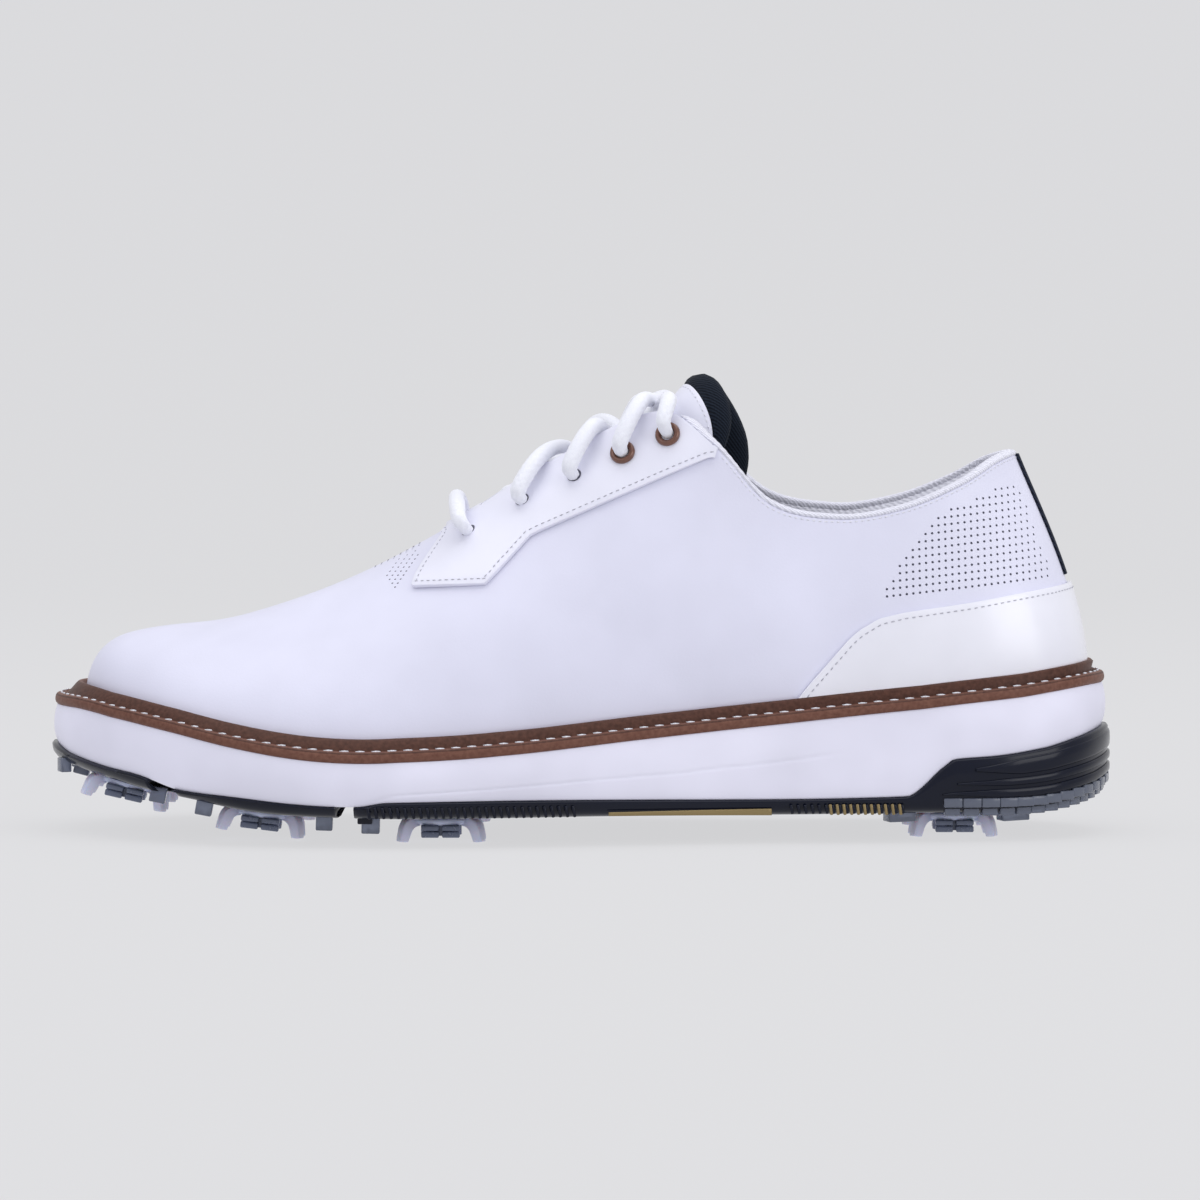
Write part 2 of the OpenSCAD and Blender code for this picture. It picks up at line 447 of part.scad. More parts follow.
// The lace's route: x, y, z and its radius there; thin where it is squeezed in a hole or under an edge
half_a = [[-30, -17.5, 85, 1.5], [-27.5, -14.5, 81, 1.3], [-24, -9.5, 88, 1.3], [-20, 0, 92.5, 1.8],
  [-14.5, 12.5, 94.5, 1.5], [-13, 19.5, 91, 1.3], [-15, 24, 94, 1.5], [-16, 27.5, 98, 2.2],
  [-10, 20.5, 107, 2.2], [-4, 5, 105, 1.9], [1.5, -10, 104.5, 1.5], [1.5, -16, 98, 1.3],
  [-0.5, -20, 101, 1.5], [-2, -24, 105, 2.2],
  [4.5, -16.5, 115.5, 2.2], [10, 0, 111.5, 1.9], [14.5, 14.5, 110.5, 1.5], [14, 19.5, 105.5, 1.3],
  [13, 24.5, 107.5, 1.5], [12.5, 28.5, 111.5, 2.2], [17.5, 22, 122, 2.2], [21.5, 3, 118.5, 1.9],
  [25.5, -18, 123, 2.2], [24, -26, 117, 2.0], [25.7, -21.3, 112.6, 1.5], [27.5, -16, 109.5, 1.3],
  [31, -16.5, 104, 1.3]];
half_b = [[-30, 23.5, 85, 1.5], [-27.5, 20, 81, 1.3], [-24, 14.5, 88, 1.3], [-20, 2.5, 96.5, 1.8],
  [-14, -7, 95, 1.5], [-12.5, -15, 91, 1.3], [-15, -19, 94, 1.5], [-16.5, -22, 98, 2.2],
  [-10.5, -14.5, 107, 2.2], [-4, 3, 109.5, 1.9], [1.5, 15, 105, 1.5], [1, 19.5, 98.5, 1.3],
  [-0.5, 24.5, 101, 1.5], [-1.5, 28.5, 105, 2.2],
  [4.5, 22, 115.5, 2.2], [10, 3, 116, 1.9], [14.5, -9.5, 110.5, 1.5], [14.5, -15.5, 105, 1.3],
  [13, -20.5, 107.5, 1.5], [12, -25, 111.5, 2.2], [17.5, -18, 122, 2.2], [21.5, 2, 122.8, 1.9],
  [25.5, 23, 123, 2.2], [24, 30.5, 117, 2.0], [25.7, 25.7, 112.6, 1.5], [27.5, 20.8, 109.5, 1.3],
  [31, 21.5, 104, 1.3]];
bar = [[-33, -21, 89, 2.0], [-34, -12, 93, 2.2], [-34.5, 3.5, 95, 2.2], [-34, 18, 93, 2.2],
  [-33, 26, 89, 2.0]];
function turned(l) = [for (i = [len(l) - 1 : -1 : 0]) l[i]];
route = concat(turned(half_a), bar, half_b);
function route_at(s) = let (n = len(route) - 1, i = min(floor(s), n - 1), t = s - i)
  curve(route[max(i - 1, 0)], route[i], route[i + 1], route[min(i + 2, n)], t);
function xyz(q) = [q[0], q[1], q[2]];
// Sideways direction carried along the route without twisting
function carried(ts, k, side) = k == len(ts) ? [] :
  let (w = unit(side - ts[k] * (side * ts[k]))) concat([w], carried(ts, k + 1, w));
module lace() {
  n = len(route) - 1;
  ss = [for (i = [0 : 79]) i * n / 79];
  ts = [for (s = ss) unit(xyz(route_at(min(s + 0.2, n))) - xyz(route_at(max(s - 0.2, 0))))];
  ws = carried(ts, 0, [0, 0, 1]);
  color([0.96, 0.96, 0.98]) tube([for (k = [0 : 79]) let (q = route_at(ss[k]), c = cross(ts[k], ws[k]))
    [for (a = [0 : 45 : 315]) xyz(q) + (ws[k] * cos(a) + c * sin(a)) * q[3] * lace_d / 4.4]]);
}
module lace_tips() {
  color([0.85, 0.85, 0.9]) for (e = [half_a, half_b]) let (b = xyz(e[26]), d = unit(b - xyz(e[25])))
    translate(b + d * 0.05) rotate([0, acos(d.z), atan2(d.y, d.x)]) cylinder(r = 1.2, h = 14, $fn = 24);
}
// --- Spikes -------------------------------------------------------------------------------------
socket_r = 7;
stud_r = 3.95;
module spike_sockets() {
  color([0.5, 0.52, 0.58]) for (i = spike_ids) site(i) rotate_extrude($fn = 64)
    polygon([[stud_r + 0.05, 0], [socket_r, 0], [socket_r, 6.2], [0, 6.2], [0, 5.4], [stud_r + 0.05, 5.4]]);
}
module spike_hub(i) {
  color([0.42, 0.45, 0.52]) site(i) {
    translate([0, 0, -0.6]) cylinder(r = stud_r, h = 5.6, $fn = 64);
    difference() {
      translate([0, 0, -5.6]) cylinder(r = 5.7, h = 5.0, $fn = 64);
      for (x = [-3.6, 3.6]) translate([x, 0, -5.7]) cylinder(r = 0.9, h = 2.2, $fn = 24);
    }
  }
}
module spike_leg() {
  reach = spike_d / 2;
  rotate([90, 0, 0]) translate([0, 0, -1.3]) linear_extrude(2.6)
    polygon([[7.6, -0.5], [9.6, -0.9], [11.6, -2.6], [12.7, -4.6], [reach, -spike_h + 0.6],
      [reach - 0.5, -spike_h], [reach - 2.2, -spike_h], [10.9, -5.2], [9.6, -3.6], [7.6, -2.6]]);
}
module spike_legs(i) {
  color([0.8, 0.8, 0.93]) site(i) {
    difference() {
      translate([0, 0, -2.6]) cylinder(r = 8.4, h = 2.1, $fn = 64);
      translate([0, 0, -2.7]) cylinder(r = 5.75, h = 2.3, $fn = 64);
    }
    for (k = [0 : leg_count - 1]) rotate([0, 0, (k + 0.5) * 360 / leg_count]) spike_leg();
  }
}

// --- Show ---------------------------------------------------------------------------------------
toe_pod();
forefoot_pod();
main_outsole();
shank();
midsole();
welt();
welt_thread();
lasting_board();
sockliner();
upper();
lining();
toe_puff();
heel_counter();
quarter_backing();
heel_overlay();
eyestay();
heel_strip();
collar_padding();
tongue_face();
tongue_padding();
collar_binding();
eyelets();
lace();
lace_tips();
spike_sockets();
for (i = spike_ids) {
  spike_hub(i);
  spike_legs(i);
}
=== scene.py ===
import math
from functools import lru_cache

import bmesh
import bpy
from mathutils import Matrix, Vector


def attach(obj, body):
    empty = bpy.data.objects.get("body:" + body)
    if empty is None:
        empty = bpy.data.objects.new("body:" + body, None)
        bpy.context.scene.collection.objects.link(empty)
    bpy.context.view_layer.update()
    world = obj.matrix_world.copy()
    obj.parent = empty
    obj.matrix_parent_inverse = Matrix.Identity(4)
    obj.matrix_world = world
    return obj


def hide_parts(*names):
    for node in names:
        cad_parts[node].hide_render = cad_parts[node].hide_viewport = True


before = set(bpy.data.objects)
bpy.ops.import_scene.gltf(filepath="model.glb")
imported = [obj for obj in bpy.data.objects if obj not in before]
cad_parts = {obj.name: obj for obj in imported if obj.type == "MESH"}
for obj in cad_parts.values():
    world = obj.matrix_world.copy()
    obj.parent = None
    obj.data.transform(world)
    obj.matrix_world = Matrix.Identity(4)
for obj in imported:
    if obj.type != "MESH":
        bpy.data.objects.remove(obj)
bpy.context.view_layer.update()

MM = 0.001

# --- Camera, backdrop and lamps -------------------------------------------------------------------
# A long lens set low and square to the outer side, as for a catalogue side view. The floor and
# the wall behind are one pale sweep. Soft panels light it from above and from both sides of the lens.
middle = Vector((6.3, 0.0, 65.8)) * MM
distance = 1.40
tilt = math.radians(2.6)
lens_data = bpy.data.cameras.new("side_camera")
lens_data.sensor_width = 36
lens_data.lens = 36 * distance / 0.342
lens_data.clip_start = 0.05
camera = bpy.data.objects.new("side_camera", lens_data)
camera.location = middle + Vector((0, -math.cos(tilt), math.sin(tilt))) * distance
camera.rotation_euler = (math.radians(90) - tilt, 0, 0)
bpy.context.collection.objects.link(camera)
bpy.context.scene.camera = camera
bpy.context.scene.view_settings.view_transform = "Standard"


def add_object(name, bm, materials=(), smooth=True):
    """A finished bmesh as an object at the origin."""
    mesh = bpy.data.meshes.new(name)
    bm.to_mesh(mesh)
    bm.free()
    for material in materials:
        mesh.materials.append(material)
    for face in mesh.polygons:
        face.use_smooth = smooth
    piece = bpy.data.objects.new(name, mesh)
    bpy.context.collection.objects.link(piece)
    return piece


def new_material(name, colour, roughness, **sockets):
    """A material with its shader and node tree, for the recipes below to build on."""
    material = bpy.data.materials.new(name)
    material.use_nodes = True
    shader = material.node_tree.nodes["Principled BSDF"]
    shader.inputs["Base Color"].default_value = (*colour, 1)
    shader.inputs["Roughness"].default_value = roughness
    for socket, value in sockets.items():
        shader.inputs[socket.replace("_", " ")].default_value = value
    return material, material.node_tree, shader


sweep = bmesh.new()
bmesh.ops.create_grid(sweep, x_segments=2, y_segments=48, size=1)
for vert in sweep.verts:
    run = (vert.co.y + 1) / 2
    turn = min(max((run - 0.45) / 0.3, 0), 1) * math.pi / 2
    back = -2.2 + min(run, 0.45) / 0.45 * 3.8 + 1.2 * math.sin(turn)
    rise = 1.2 * (1 - math.cos(turn)) + max(run - 0.75, 0) * 12
    vert.co = Vector((vert.co.x * 5, back, rise - 0.0002))
backdrop_paint = new_material("backdrop_paint", (0.10, 0.10, 0.102), 0.95, Specular_IOR_Level=0.0,
                              Emission_Color=(0.73, 0.73, 0.745, 1), Emission_Strength=0.87)[0]
backdrop = add_object("backdrop", sweep, [backdrop_paint])

world = bpy.data.worlds.new("studio")
bpy.context.scene.world = world
world.use_nodes = True
world.node_tree.nodes["Background"].inputs[0].default_value = (0.93, 0.94, 1.0, 1)
world.node_tree.nodes["Background"].inputs[1].default_value = 0.64


def panel(name, place, aim, size, power, colour=(1, 1, 1)):
    """A soft rectangular lamp pointed at a place."""
    lamp = bpy.data.lights.new(name, "AREA")
    lamp.shape = "RECTANGLE"
    lamp.size, lamp.size_y = size
    lamp.energy = power
    lamp.color = colour
    holder = bpy.data.objects.new(name, lamp)
    holder.location = place
    holder.rotation_euler = (Vector(aim) - Vector(place)).to_track_quat("-Z", "Y").to_euler()
    bpy.context.collection.objects.link(holder)


panel("overhead", (0.0, -0.1, 1.5), (0, 0, 0.05), (1.8, 1.4), 12)
panel("front_left", (-1.1, -1.3, 0.9), (0, 0, 0.06), (1.2, 1.0), 2.6, (0.95, 0.97, 1.0))
panel("front_right", (1.3, -1.1, 0.7), (0, 0, 0.06), (0.9, 1.0), 6.3)

# --- Upper ----------------------------------------------------------------------------------------
# One wrap of white full-grain leather, 1.5 mm thick, lasted over the foot shape and closed over
# the vamp. It is stitched and cemented down to the welt; the tiny holes are laser-punched.
# Each row: foot of the wall x, y; top edge x, y, z; then how far the wall's two handles stand off:
# rise and lean at the foot, reach and drop at the top
rows = [
    (144.5, 3.0, 124.8, 3.0, 107.3, 20, 0.0, 6, 15),
    (137.5, -17.0, 118.5, -9.5, 105.0, 20, 1.0, 6, 17),
    (122.0, -27.0, 107.5, -18.0, 98.6, 20, 1.5, 6, 17),
    (98.0, -31.0, 91.5, -22.5, 92.2, 20, 2.0, 6, 17),
    (70.0, -32.0, 73.0, -24.0, 89.5, 20, 2.5, 6, 18),
    (40.0, -34.5, 54.0, -23.0, 93.6, 22, 3.5, 8, 20),
    (10.0, -39.5, 38.0, -25.0, 110.2, 22, 3.0, 7, 20),
    (-20.0, -45.0, 22.0, -17.0, 119.0, 20, 3.0, 9, 16),
    (-50.0, -47.5, -8.0, -13.0, 104.2, 18, 3.0, 10, 12),
    (-80.0, -45.0, -35.0, -6.0, 86.8, 16, 2.5, 12, 8),
    (-105.0, -36.0, -64.0, 1.0, 72.2, 14, 1.5, 13, 4),
    (-124.0, -22.0, -95.0, 4.0, 61.2, 13, 1.0, 14, 2),
    (-136.5, -6.0, -117.0, 6.5, 58.2, 12, 0.5, 12, 1),
    (-141.5, 11.0, -124.0, 9.5, 57.0, 11, 0.0, 10, 1),
    (-137.0, 26.0, -117.0, 12.5, 58.2, 12, 0.5, 12, 1),
    (-125.0, 36.5, -95.0, 13.0, 61.2, 13, 1.0, 14, 2),
    (-105.0, 44.0, -64.0, 11.0, 72.2, 14, 1.5, 14, 4),
    (-80.0, 47.5, -35.0, 13.5, 86.8, 16, 2.5, 13, 8),
    (-50.0, 47.0, -8.0, 19.0, 104.2, 18, 2.5, 10, 12),
    (-20.0, 42.5, 22.0, 22.0, 119.0, 20, 2.5, 8, 16),
    (10.0, 36.0, 38.0, 30.0, 111.0, 22, 2.5, 6, 20),
    (40.0, 32.0, 54.0, 27.5, 95.6, 22, 2.0, 8, 20),
    (70.0, 31.5, 73.0, 28.5, 91.5, 20, 2.0, 6, 18),
    (98.0, 32.5, 91.5, 28.0, 93.6, 20, 2.0, 6, 17),
    (122.0, 30.5, 107.5, 24.0, 99.4, 20, 1.5, 6, 17),
    (137.5, 21.5, 118.5, 15.5, 105.2, 20, 1.0, 6, 17)]
# Height of the line where the leather meets the welt, over x
feather = [(-142, 41.2), (-131, 39.5), (-112, 36.1), (-96, 32.6), (-79, 29.8), (-64, 28.6), (-50, 28.8),
           (-21, 30.5), (17, 34.4), (58, 38.5), (96, 42.4), (124, 45.4), (145, 48.0)]
welt_drop = 5.4
leather_t = 1.5
throat_u = 8.7 / len(rows)


def curve(a, b, c, d, t):
    """Catmull-Rom step from b to c."""
    return 0.5 * (2 * b + (c - a) * t + (2 * a - 5 * b + 4 * c - d) * t * t
                  + (3 * b - a - 3 * c + d) * t * t * t)


@lru_cache(maxsize=None)
def row_at(u):
    """Row of the wall at u: 0 at the heel, past the outer side, 0.5 at the toe and back to 1."""
    s = u % 1.0 * len(rows)
    i = int(s)
    near = [rows[(i + k) % len(rows)] for k in (-1, 0, 1, 2)]
    return [curve(*(row[j] for row in near), s - i) for j in range(9)]


def height(line, x):
    """Smooth height along a list of (x, z)."""
    x = min(max(x, line[0][0]), line[-1][0])
    i = 0
    while i < len(line) - 2 and x >= line[i + 1][0]:
        i += 1
    t = (x - line[i][0]) / (line[i + 1][0] - line[i][0])
    near = [line[min(max(i + k, 0), len(line) - 1)][1] for k in (-1, 0, 1, 2)]
    return curve(*near, t)


def z_ledge(x):
    """Height of the underside of the welt."""
    return height(feather, x) - welt_drop


@lru_cache(maxsize=None)
def outward(u):
    """Unit vector away from the foot in plan."""
    a, b = row_at(u + 0.002), row_at(u - 0.002)
    return Vector((-(a[1] - b[1]), a[0] - b[0], 0)).normalized()


def plan(u, off, z):
    """Point at a distance outside the foot of the wall."""
    row = row_at(u)
    return Vector((row[0], row[1], z)) + outward(u) * off


@lru_cache(maxsize=None)
def handles(u):
    """The four control points of the wall's section at u."""
    r = row_at(u)
    foot = Vector((r[0], r[1], z_ledge(r[0]) + 0.06))
    top = Vector(r[2:5])
    lean = Vector((foot.x - top.x, foot.y - top.y, 0)).normalized()
    return (foot, foot + outward(u) * r[6] + Vector((0, 0, r[5] + 4)),
            top + lean * r[7] - Vector((0, 0, r[8])), top)


def skin(u, v):
    """Point on the outside of the leather, v from 0 at the welt to 1 at the top edge."""
    b, c, d, t = handles(u)
    w = 1 - v
    return b * w ** 3 + c * 3 * w * w * v + d * 3 * w * v * v + t * v ** 3


def skin_out(u, v):
    """Outward unit normal of the wall."""
    rise = skin(u, min(v + 0.01, 1)) - skin(u, max(v - 0.01, 0))
    return rise.cross(skin(u + 0.003, v) - skin(u - 0.003, v)).normalized()


def above(u, v, lift):
    """Point at a height above the leather; a negative lift goes under it."""
    return skin(u, v) + skin_out(u, v) * lift


def vamp_bridge(u, t, lift):
    """Point across the closed vamp from the inner side (t = 0) to the outer side (t = 1)."""
    a, b = above(1 - u, 1, lift), above(u, 1, lift)
    row = row_at(u)
    crown = (a - b).length * row[8] / row[7] * 0.4 * min(0.25 + (u - throat_u) * 40, 1)
    return a.lerp(b, t) + Vector((0, 0, crown * t * (1 - t)))


def lay(bm, wide, high, place):
    """Adds a grid and puts each corner, in millimetres, where place(s, t) says."""
    made = bmesh.ops.create_grid(bm, x_segments=wide, y_segments=high, size=0.5)["verts"]
    for vert in made:
        vert.co = place(vert.co.x + 0.5, vert.co.y + 0.5) * MM
    return made


def weld(bm, reach=0.01):
    """Joins corners that meet."""
    bmesh.ops.remove_doubles(bm, verts=bm.verts, dist=reach * MM)


def thicken(piece, thickness, edge=0.3):
    """Gives a sheet its thickness inward and softens its cut edges."""
    wall = piece.modifiers.new("thickness", "SOLIDIFY")
    wall.thickness = thickness * MM
    wall.offset = -1
    wall.use_even_offset = True
    soft = piece.modifiers.new("soft_edge", "BEVEL")
    soft.width = edge * MM
    soft.segments = 2
    soft.limit_method = "ANGLE"
    soft.angle_limit = math.radians(50)


def texture(tree, kind, out, scale, **sockets):
    """A texture laid on the piece's own coordinates; gives the node and the output that is used."""
    node = tree.nodes.new(kind)
    node.inputs["Scale"].default_value = scale
    for socket, value in sockets.items():
        node.inputs[socket].default_value = value
    place = tree.nodes.new("ShaderNodeTexCoord")
    tree.links.new(place.outputs["Object"], node.inputs["Vector"])
    return node, node.outputs[out]


def noise(tree, scale, detail=2):
    """Cloudy noise: its scale per metre and how many finer layers it has."""
    return texture(tree, "ShaderNodeTexNoise", "Fac", scale, Detail=detail)[1]


def waves(tree, direction, scale, distortion=0.0):
    """Even ridges across a direction, as threads and ribs make."""
    node, out = texture(tree, "ShaderNodeTexWave", "Fac", scale, Distortion=distortion)
    node.bands_direction = direction
    return out


def tones(tree, shader, factor, dark, light, start=0.0, end=1.0):
    """Colours the surface from dark to light while a factor goes from start to end."""
    ramp = tree.nodes.new("ShaderNodeValToRGB")
    for stop, colour, position in zip(ramp.color_ramp.elements, (dark, light), (start, end)):
        stop.color = (*colour, 1)
        stop.position = position
    tree.links.new(factor, ramp.inputs["Fac"])
    tree.links.new(ramp.outputs["Color"], shader.inputs["Base Color"])


def gloss_range(tree, shader, factor, low, high):
    """Varies the roughness between two values."""
    spread = tree.nodes.new("ShaderNodeMapRange")
    spread.inputs["To Min"].default_value = low
    spread.inputs["To Max"].default_value = high
    tree.links.new(factor, spread.inputs["Value"])
    tree.links.new(spread.outputs["Result"], shader.inputs["Roughness"])


def add_scaled(tree, fine, share, coarse):
    """A share of one relief added to another."""
    both = tree.nodes.new("ShaderNodeMath")
    both.operation = "MULTIPLY_ADD"
    both.inputs[1].default_value = share
    tree.links.new(fine, both.inputs[0])
    tree.links.new(coarse, both.inputs[2])
    return both.outputs["Value"]


def relief(tree, shader, height_out, depth, strength=1.0):
    """Surface relief, its depth in millimetres."""
    bump = tree.nodes.new("ShaderNodeBump")
    bump.inputs["Strength"].default_value = strength
    bump.inputs["Distance"].default_value = depth * MM
    tree.links.new(height_out, bump.inputs["Height"])
    tree.links.new(bump.outputs["Normal"], shader.inputs["Normal"])


def shaded(colour, share):
    """A colour made darker or lighter, no brighter than white."""
    return [min(part * share, 1) for part in colour]


def leather(name, colour, roughness, cell=1.1, depth=0.05, coat=0.12):
    """Fine-grained leather: pebbled cells, a soft crease noise and slight shade changes."""
    material, tree, shader = new_material(name, colour, roughness, Coat_Weight=coat, Coat_Roughness=0.35,
                                          Specular_IOR_Level=0.4)
    cells, gap = texture(tree, "ShaderNodeTexVoronoi", "Distance", 1000 / cell)
    cells.feature = "DISTANCE_TO_EDGE"
    creases = noise(tree, 160, 6)
    tones(tree, shader, noise(tree, 28, 3), shaded(colour, 0.94), shaded(colour, 1.03), 0.3, 0.7)
    gloss_range(tree, shader, creases, roughness - 0.06, roughness + 0.08)
    ease = tree.nodes.new("ShaderNodeMath")
    ease.operation = "POWER"
    ease.inputs[1].default_value = 0.4
    tree.links.new(gap, ease.inputs[0])
    relief(tree, shader, add_scaled(tree, creases, 0.7, ease.outputs["Value"]), depth, 0.35)
    return material


white_leather = leather("white_leather", (0.76, 0.76, 0.90), 0.47)
upper_bm = bmesh.new()
lay(upper_bm, 260, 36, lambda s, t: skin(1 - s, t))
lay(upper_bm, 43, 6, lambda s, t: vamp_bridge(throat_u + (0.5 - throat_u) * s, t, 0))
weld(upper_bm)
ridge = [v for v in upper_bm.verts
         if v.co.x < -34 * MM and v.co.z > 56 * MM and abs(v.co.y - 8 * MM) < 16 * MM]
for _ in range(6):
    bmesh.ops.smooth_vert(upper_bm, verts=ridge, factor=0.4,
                          use_axis_x=True, use_axis_y=True, use_axis_z=True)
upper_leather = add_object("upper_leather", upper_bm, [white_leather])
thicken(upper_leather, leather_t)
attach(upper_leather, "shoe")
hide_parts("upper")


def straight(line, x):
    """Height at x along straight runs between (x, z) points."""
    x = min(max(x, line[0][0]), line[-1][0])
    for (x0, z0), (x1, z1) in zip(line, line[1:]):
        if x <= x1:
            return z0 + (z1 - z0) * (x - x0) / (x1 - x0)
    return line[-1][1]


def crossing(low, high, steps, before):
    """Where before() stops being true between low and high, found by halving."""
    for _ in range(steps):
        spot = (low + high) / 2
        if before(spot):
            low = spot
        else:
            high = spot
    return spot


def v_at(u, line):
    """v at which the wall crosses a line of heights over x."""
    def under(v):
        p = skin(u, v)
        return p.z < straight(line, p.x)
    return crossing(0.0, 1.0, 17, under)


def wall_uv(x, z, inner=False):
    """u and v of the wall point with a given x and z."""
    level = [(-200, z), (200, z)]

    def not_reached(u):
        return (skin(u, v_at(u, level)).x > x) != inner
    u = crossing(0.5 if inner else 0.0, 1.0 if inner else 0.5, 16, not_reached)
    return u, v_at(u, level)


def facing(point, normal, ahead=None):
    """Matrix at a point, in millimetres, with Z on the normal and X toward a direction."""
    z = normal.normalized()
    x = ahead or z.orthogonal()
    x = (x - z * x.dot(z)).normalized()
    axes = Matrix((x, z.cross(x), z)).transposed().to_4x4()
    return Matrix.Translation(point * MM) @ axes


def punch(bm, point, normal, radius):
    """One punched hole: a shallow cup set into the surface, dark with painted shade for the hole's depth."""
    bmesh.ops.create_cone(bm, cap_ends=True, segments=8, radius1=radius * 0.8 * MM, radius2=radius * MM,
                          depth=0.05 * MM, matrix=facing(point, normal))


# The holes' dark colour is painted shade for their depth; the lining behind them is pale.
hole_dark_shade = new_material("hole_dark_shade_material", (0.09, 0.09, 0.13), 0.9)[0]
heel_hole, vamp_hole = 0.36, 0.3
holes_bm = bmesh.new()
# Heel field: level ranks that climb a little to the back, inside a low line, a high line and a back edge
heel_pitch, heel_rank_gap, heel_climb = 1.85, 2.0, 0.11
heel_low = [(84, 66.9), (134.4, 72.5)]
heel_high = [(84, 66.9), (91.1, 78.5), (101, 90.9), (124.2, 100.2), (136, 100.2)]
for inner in (False, True):
    for rank in range(17):
        for column in range(30):
            x = 84.5 + column * heel_pitch
            z = 67.9 + rank * heel_rank_gap + (x - 84) * heel_climb
            back_edge = 134.6 - (z - 72) * 0.36
            if x < back_edge and straight(heel_low, x) < z < straight(heel_high, x):
                u, v = wall_uv(x, z, inner)
                punch(holes_bm, skin(u, v), skin_out(u, v), heel_hole)
# Vamp field: slanted ranks up the wall in front of the eyestay, then staggered rows over the bridge
for rank in range(4):
    for column in range(9):
        x = -51.2 - rank * 0.85 + column * 0.75
        z = 70.4 + rank * 1.0 + column * 1.08
        for inner in (False, True):
            u, v = wall_uv(x, z, inner)
            if v < 0.985:
                punch(holes_bm, skin(u, v), skin_out(u, v), vamp_hole)
vamp_slope = Vector((-0.45, 0, 1)).normalized()
for rank in range(8):
    for column in range(6 + rank % 2):
        t = (column + 0.5 * (1 - rank % 2)) / 6
        spot = vamp_bridge((9.36 + 0.062 * rank) / len(rows), t, 0)
        punch(holes_bm, spot, vamp_slope, vamp_hole)
perforations = add_object("perforations", holes_bm, [hole_dark_shade])
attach(perforations, "shoe")

# --- Eyestay --------------------------------------------------------------------------------------
# A horseshoe of smoother white leather round the lacing gap, glued flat on the upper and held by
# one row of lockstitch just inside its cut edge.
overlay_t = 1.2
eyestay_back, eyestay_front = 5.93 / len(rows), 9.06 / len(rows)
eyestay_line = [(-47.3, 70.1), (-24.4, 71.4), (-20.8, 73.4), (-18.7, 78.2), (-16.8, 82.3), (-12.4, 85.1),
                (37.3, 106.9), (60, 117)]


@lru_cache(maxsize=None)
def eyestay_low(u):
    """v at which the wall enters the eyestay: above its lower line and behind its front slant."""
    def outside(v):
        p = skin(u, v)
        front_slant = 70.1 + 1.47 * (p.x + 47.3)
        return not straight(eyestay_line, p.x) < p.z < front_slant
    return min(crossing(0.0, 1.0, 17, outside), 0.96)


def eyestay_low_soft(u):
    """The same edge with its corners eased."""
    return sum(eyestay_low(u + k * 0.0009) for k in (-3, -2, -1, 0, 1, 2, 3)) / 7


def eyestay_wing(s, t, inner):
    """One side of the eyestay: s from its front corner to its back corner, t up to the throat."""
    u = eyestay_front + (eyestay_back - eyestay_front) * s
    if inner:
        u = 1 - eyestay_front + (eyestay_front - eyestay_back) * s
    low = eyestay_low_soft(u)
    return above(u, low + (1 - low) * t, overlay_t + 0.25)


def face_up(bm):
    """Turns the faces of an open sheet to one side, the one that looks up."""
    bmesh.ops.recalc_face_normals(bm, faces=bm.faces)
    if sum(face.normal.z for face in bm.faces) < 0:
        bmesh.ops.reverse_faces(bm, faces=bm.faces)


eyestay_bm = bmesh.new()
lay(eyestay_bm, 120, 16, lambda s, t: eyestay_wing(s, t, False))
lay(eyestay_bm, 120, 16, lambda s, t: eyestay_wing(1 - s, t, True))
lay(eyestay_bm, 6, 8,
    lambda s, t: vamp_bridge(throat_u + (eyestay_front - throat_u) * s, t, overlay_t + 0.25))
weld(eyestay_bm, 0.25)
face_up(eyestay_bm)
eyestay_white = leather("eyestay_white", (0.84, 0.84, 0.95), 0.36, cell=0.9, depth=0.03, coat=0.3)
eyestay_leather = add_object("eyestay_leather", eyestay_bm, [eyestay_white])
thicken(eyestay_leather, overlay_t, 0.35)
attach(eyestay_leather, "shoe")
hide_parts("eyestay")


def stitch_row(bm, path, pitch, length, thick, inset=0.0):
    """Thread stitches along a path of (point, normal); inset moves the row to the left of the path."""
    line = []
    for k, (point, normal) in enumerate(path):
        ahead = path[min(k + 1, len(path) - 1)][0] - path[max(k - 1, 0)][0]
        side = normal.cross(ahead).normalized()
        line.append((point + side * inset, normal, ahead.normalized()))
    travelled, due = 0.0, pitch / 2
    for (p, n, d), (q, _, _) in zip(line, line[1:]):
        gap = (q - p).length
        while gap > 1e-6 and due <= travelled + gap:
            spot = p.lerp(q, (due - travelled) / gap)
            size = Matrix.Diagonal((length / 2 * MM, thick / 2 * MM, thick * 0.42 * MM, 1))
            bmesh.ops.create_icosphere(bm, subdivisions=1, radius=1, matrix=facing(spot, n, d) @ size)
            due += pitch
        travelled += gap


def thread_material(name, colour):
    """Twisted sewing thread: fine diagonal ply lines and a soft sheen."""
    ply_pitch = 0.35
    material, tree, shader = new_material(name, colour, 0.6, Sheen_Weight=0.3, Sheen_Roughness=0.4)
    relief(tree, shader, waves(tree, "DIAGONAL", 300 / ply_pitch, 1.5), 0.08)
    return material


white_thread = thread_material("white_thread", (0.80, 0.80, 0.86))
# The grey thread is painted shade: the sunken stitch rows on the white leather read as darker dashes than the
# white thread.
seam_shade_thread = thread_material("seam_shade_thread", (0.50, 0.50, 0.57))
seams_bm = bmesh.new()
for inner in (False, True):
    edge = []
    for k in range(241):
        u = eyestay_front + (eyestay_back - eyestay_front) * k / 240
        u = 1 - u if inner else u
        v = eyestay_low_soft(u)
        edge.append((above(u, v, overlay_t + 0.27), skin_out(u, v)))
    stitch_row(seams_bm, edge, 1.9, 1.25, 0.42, inset=-1.5 if inner else 1.5)
eyestay_stitches = add_object("eyestay_stitches", seams_bm, [seam_shade_thread])
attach(eyestay_stitches, "shoe")

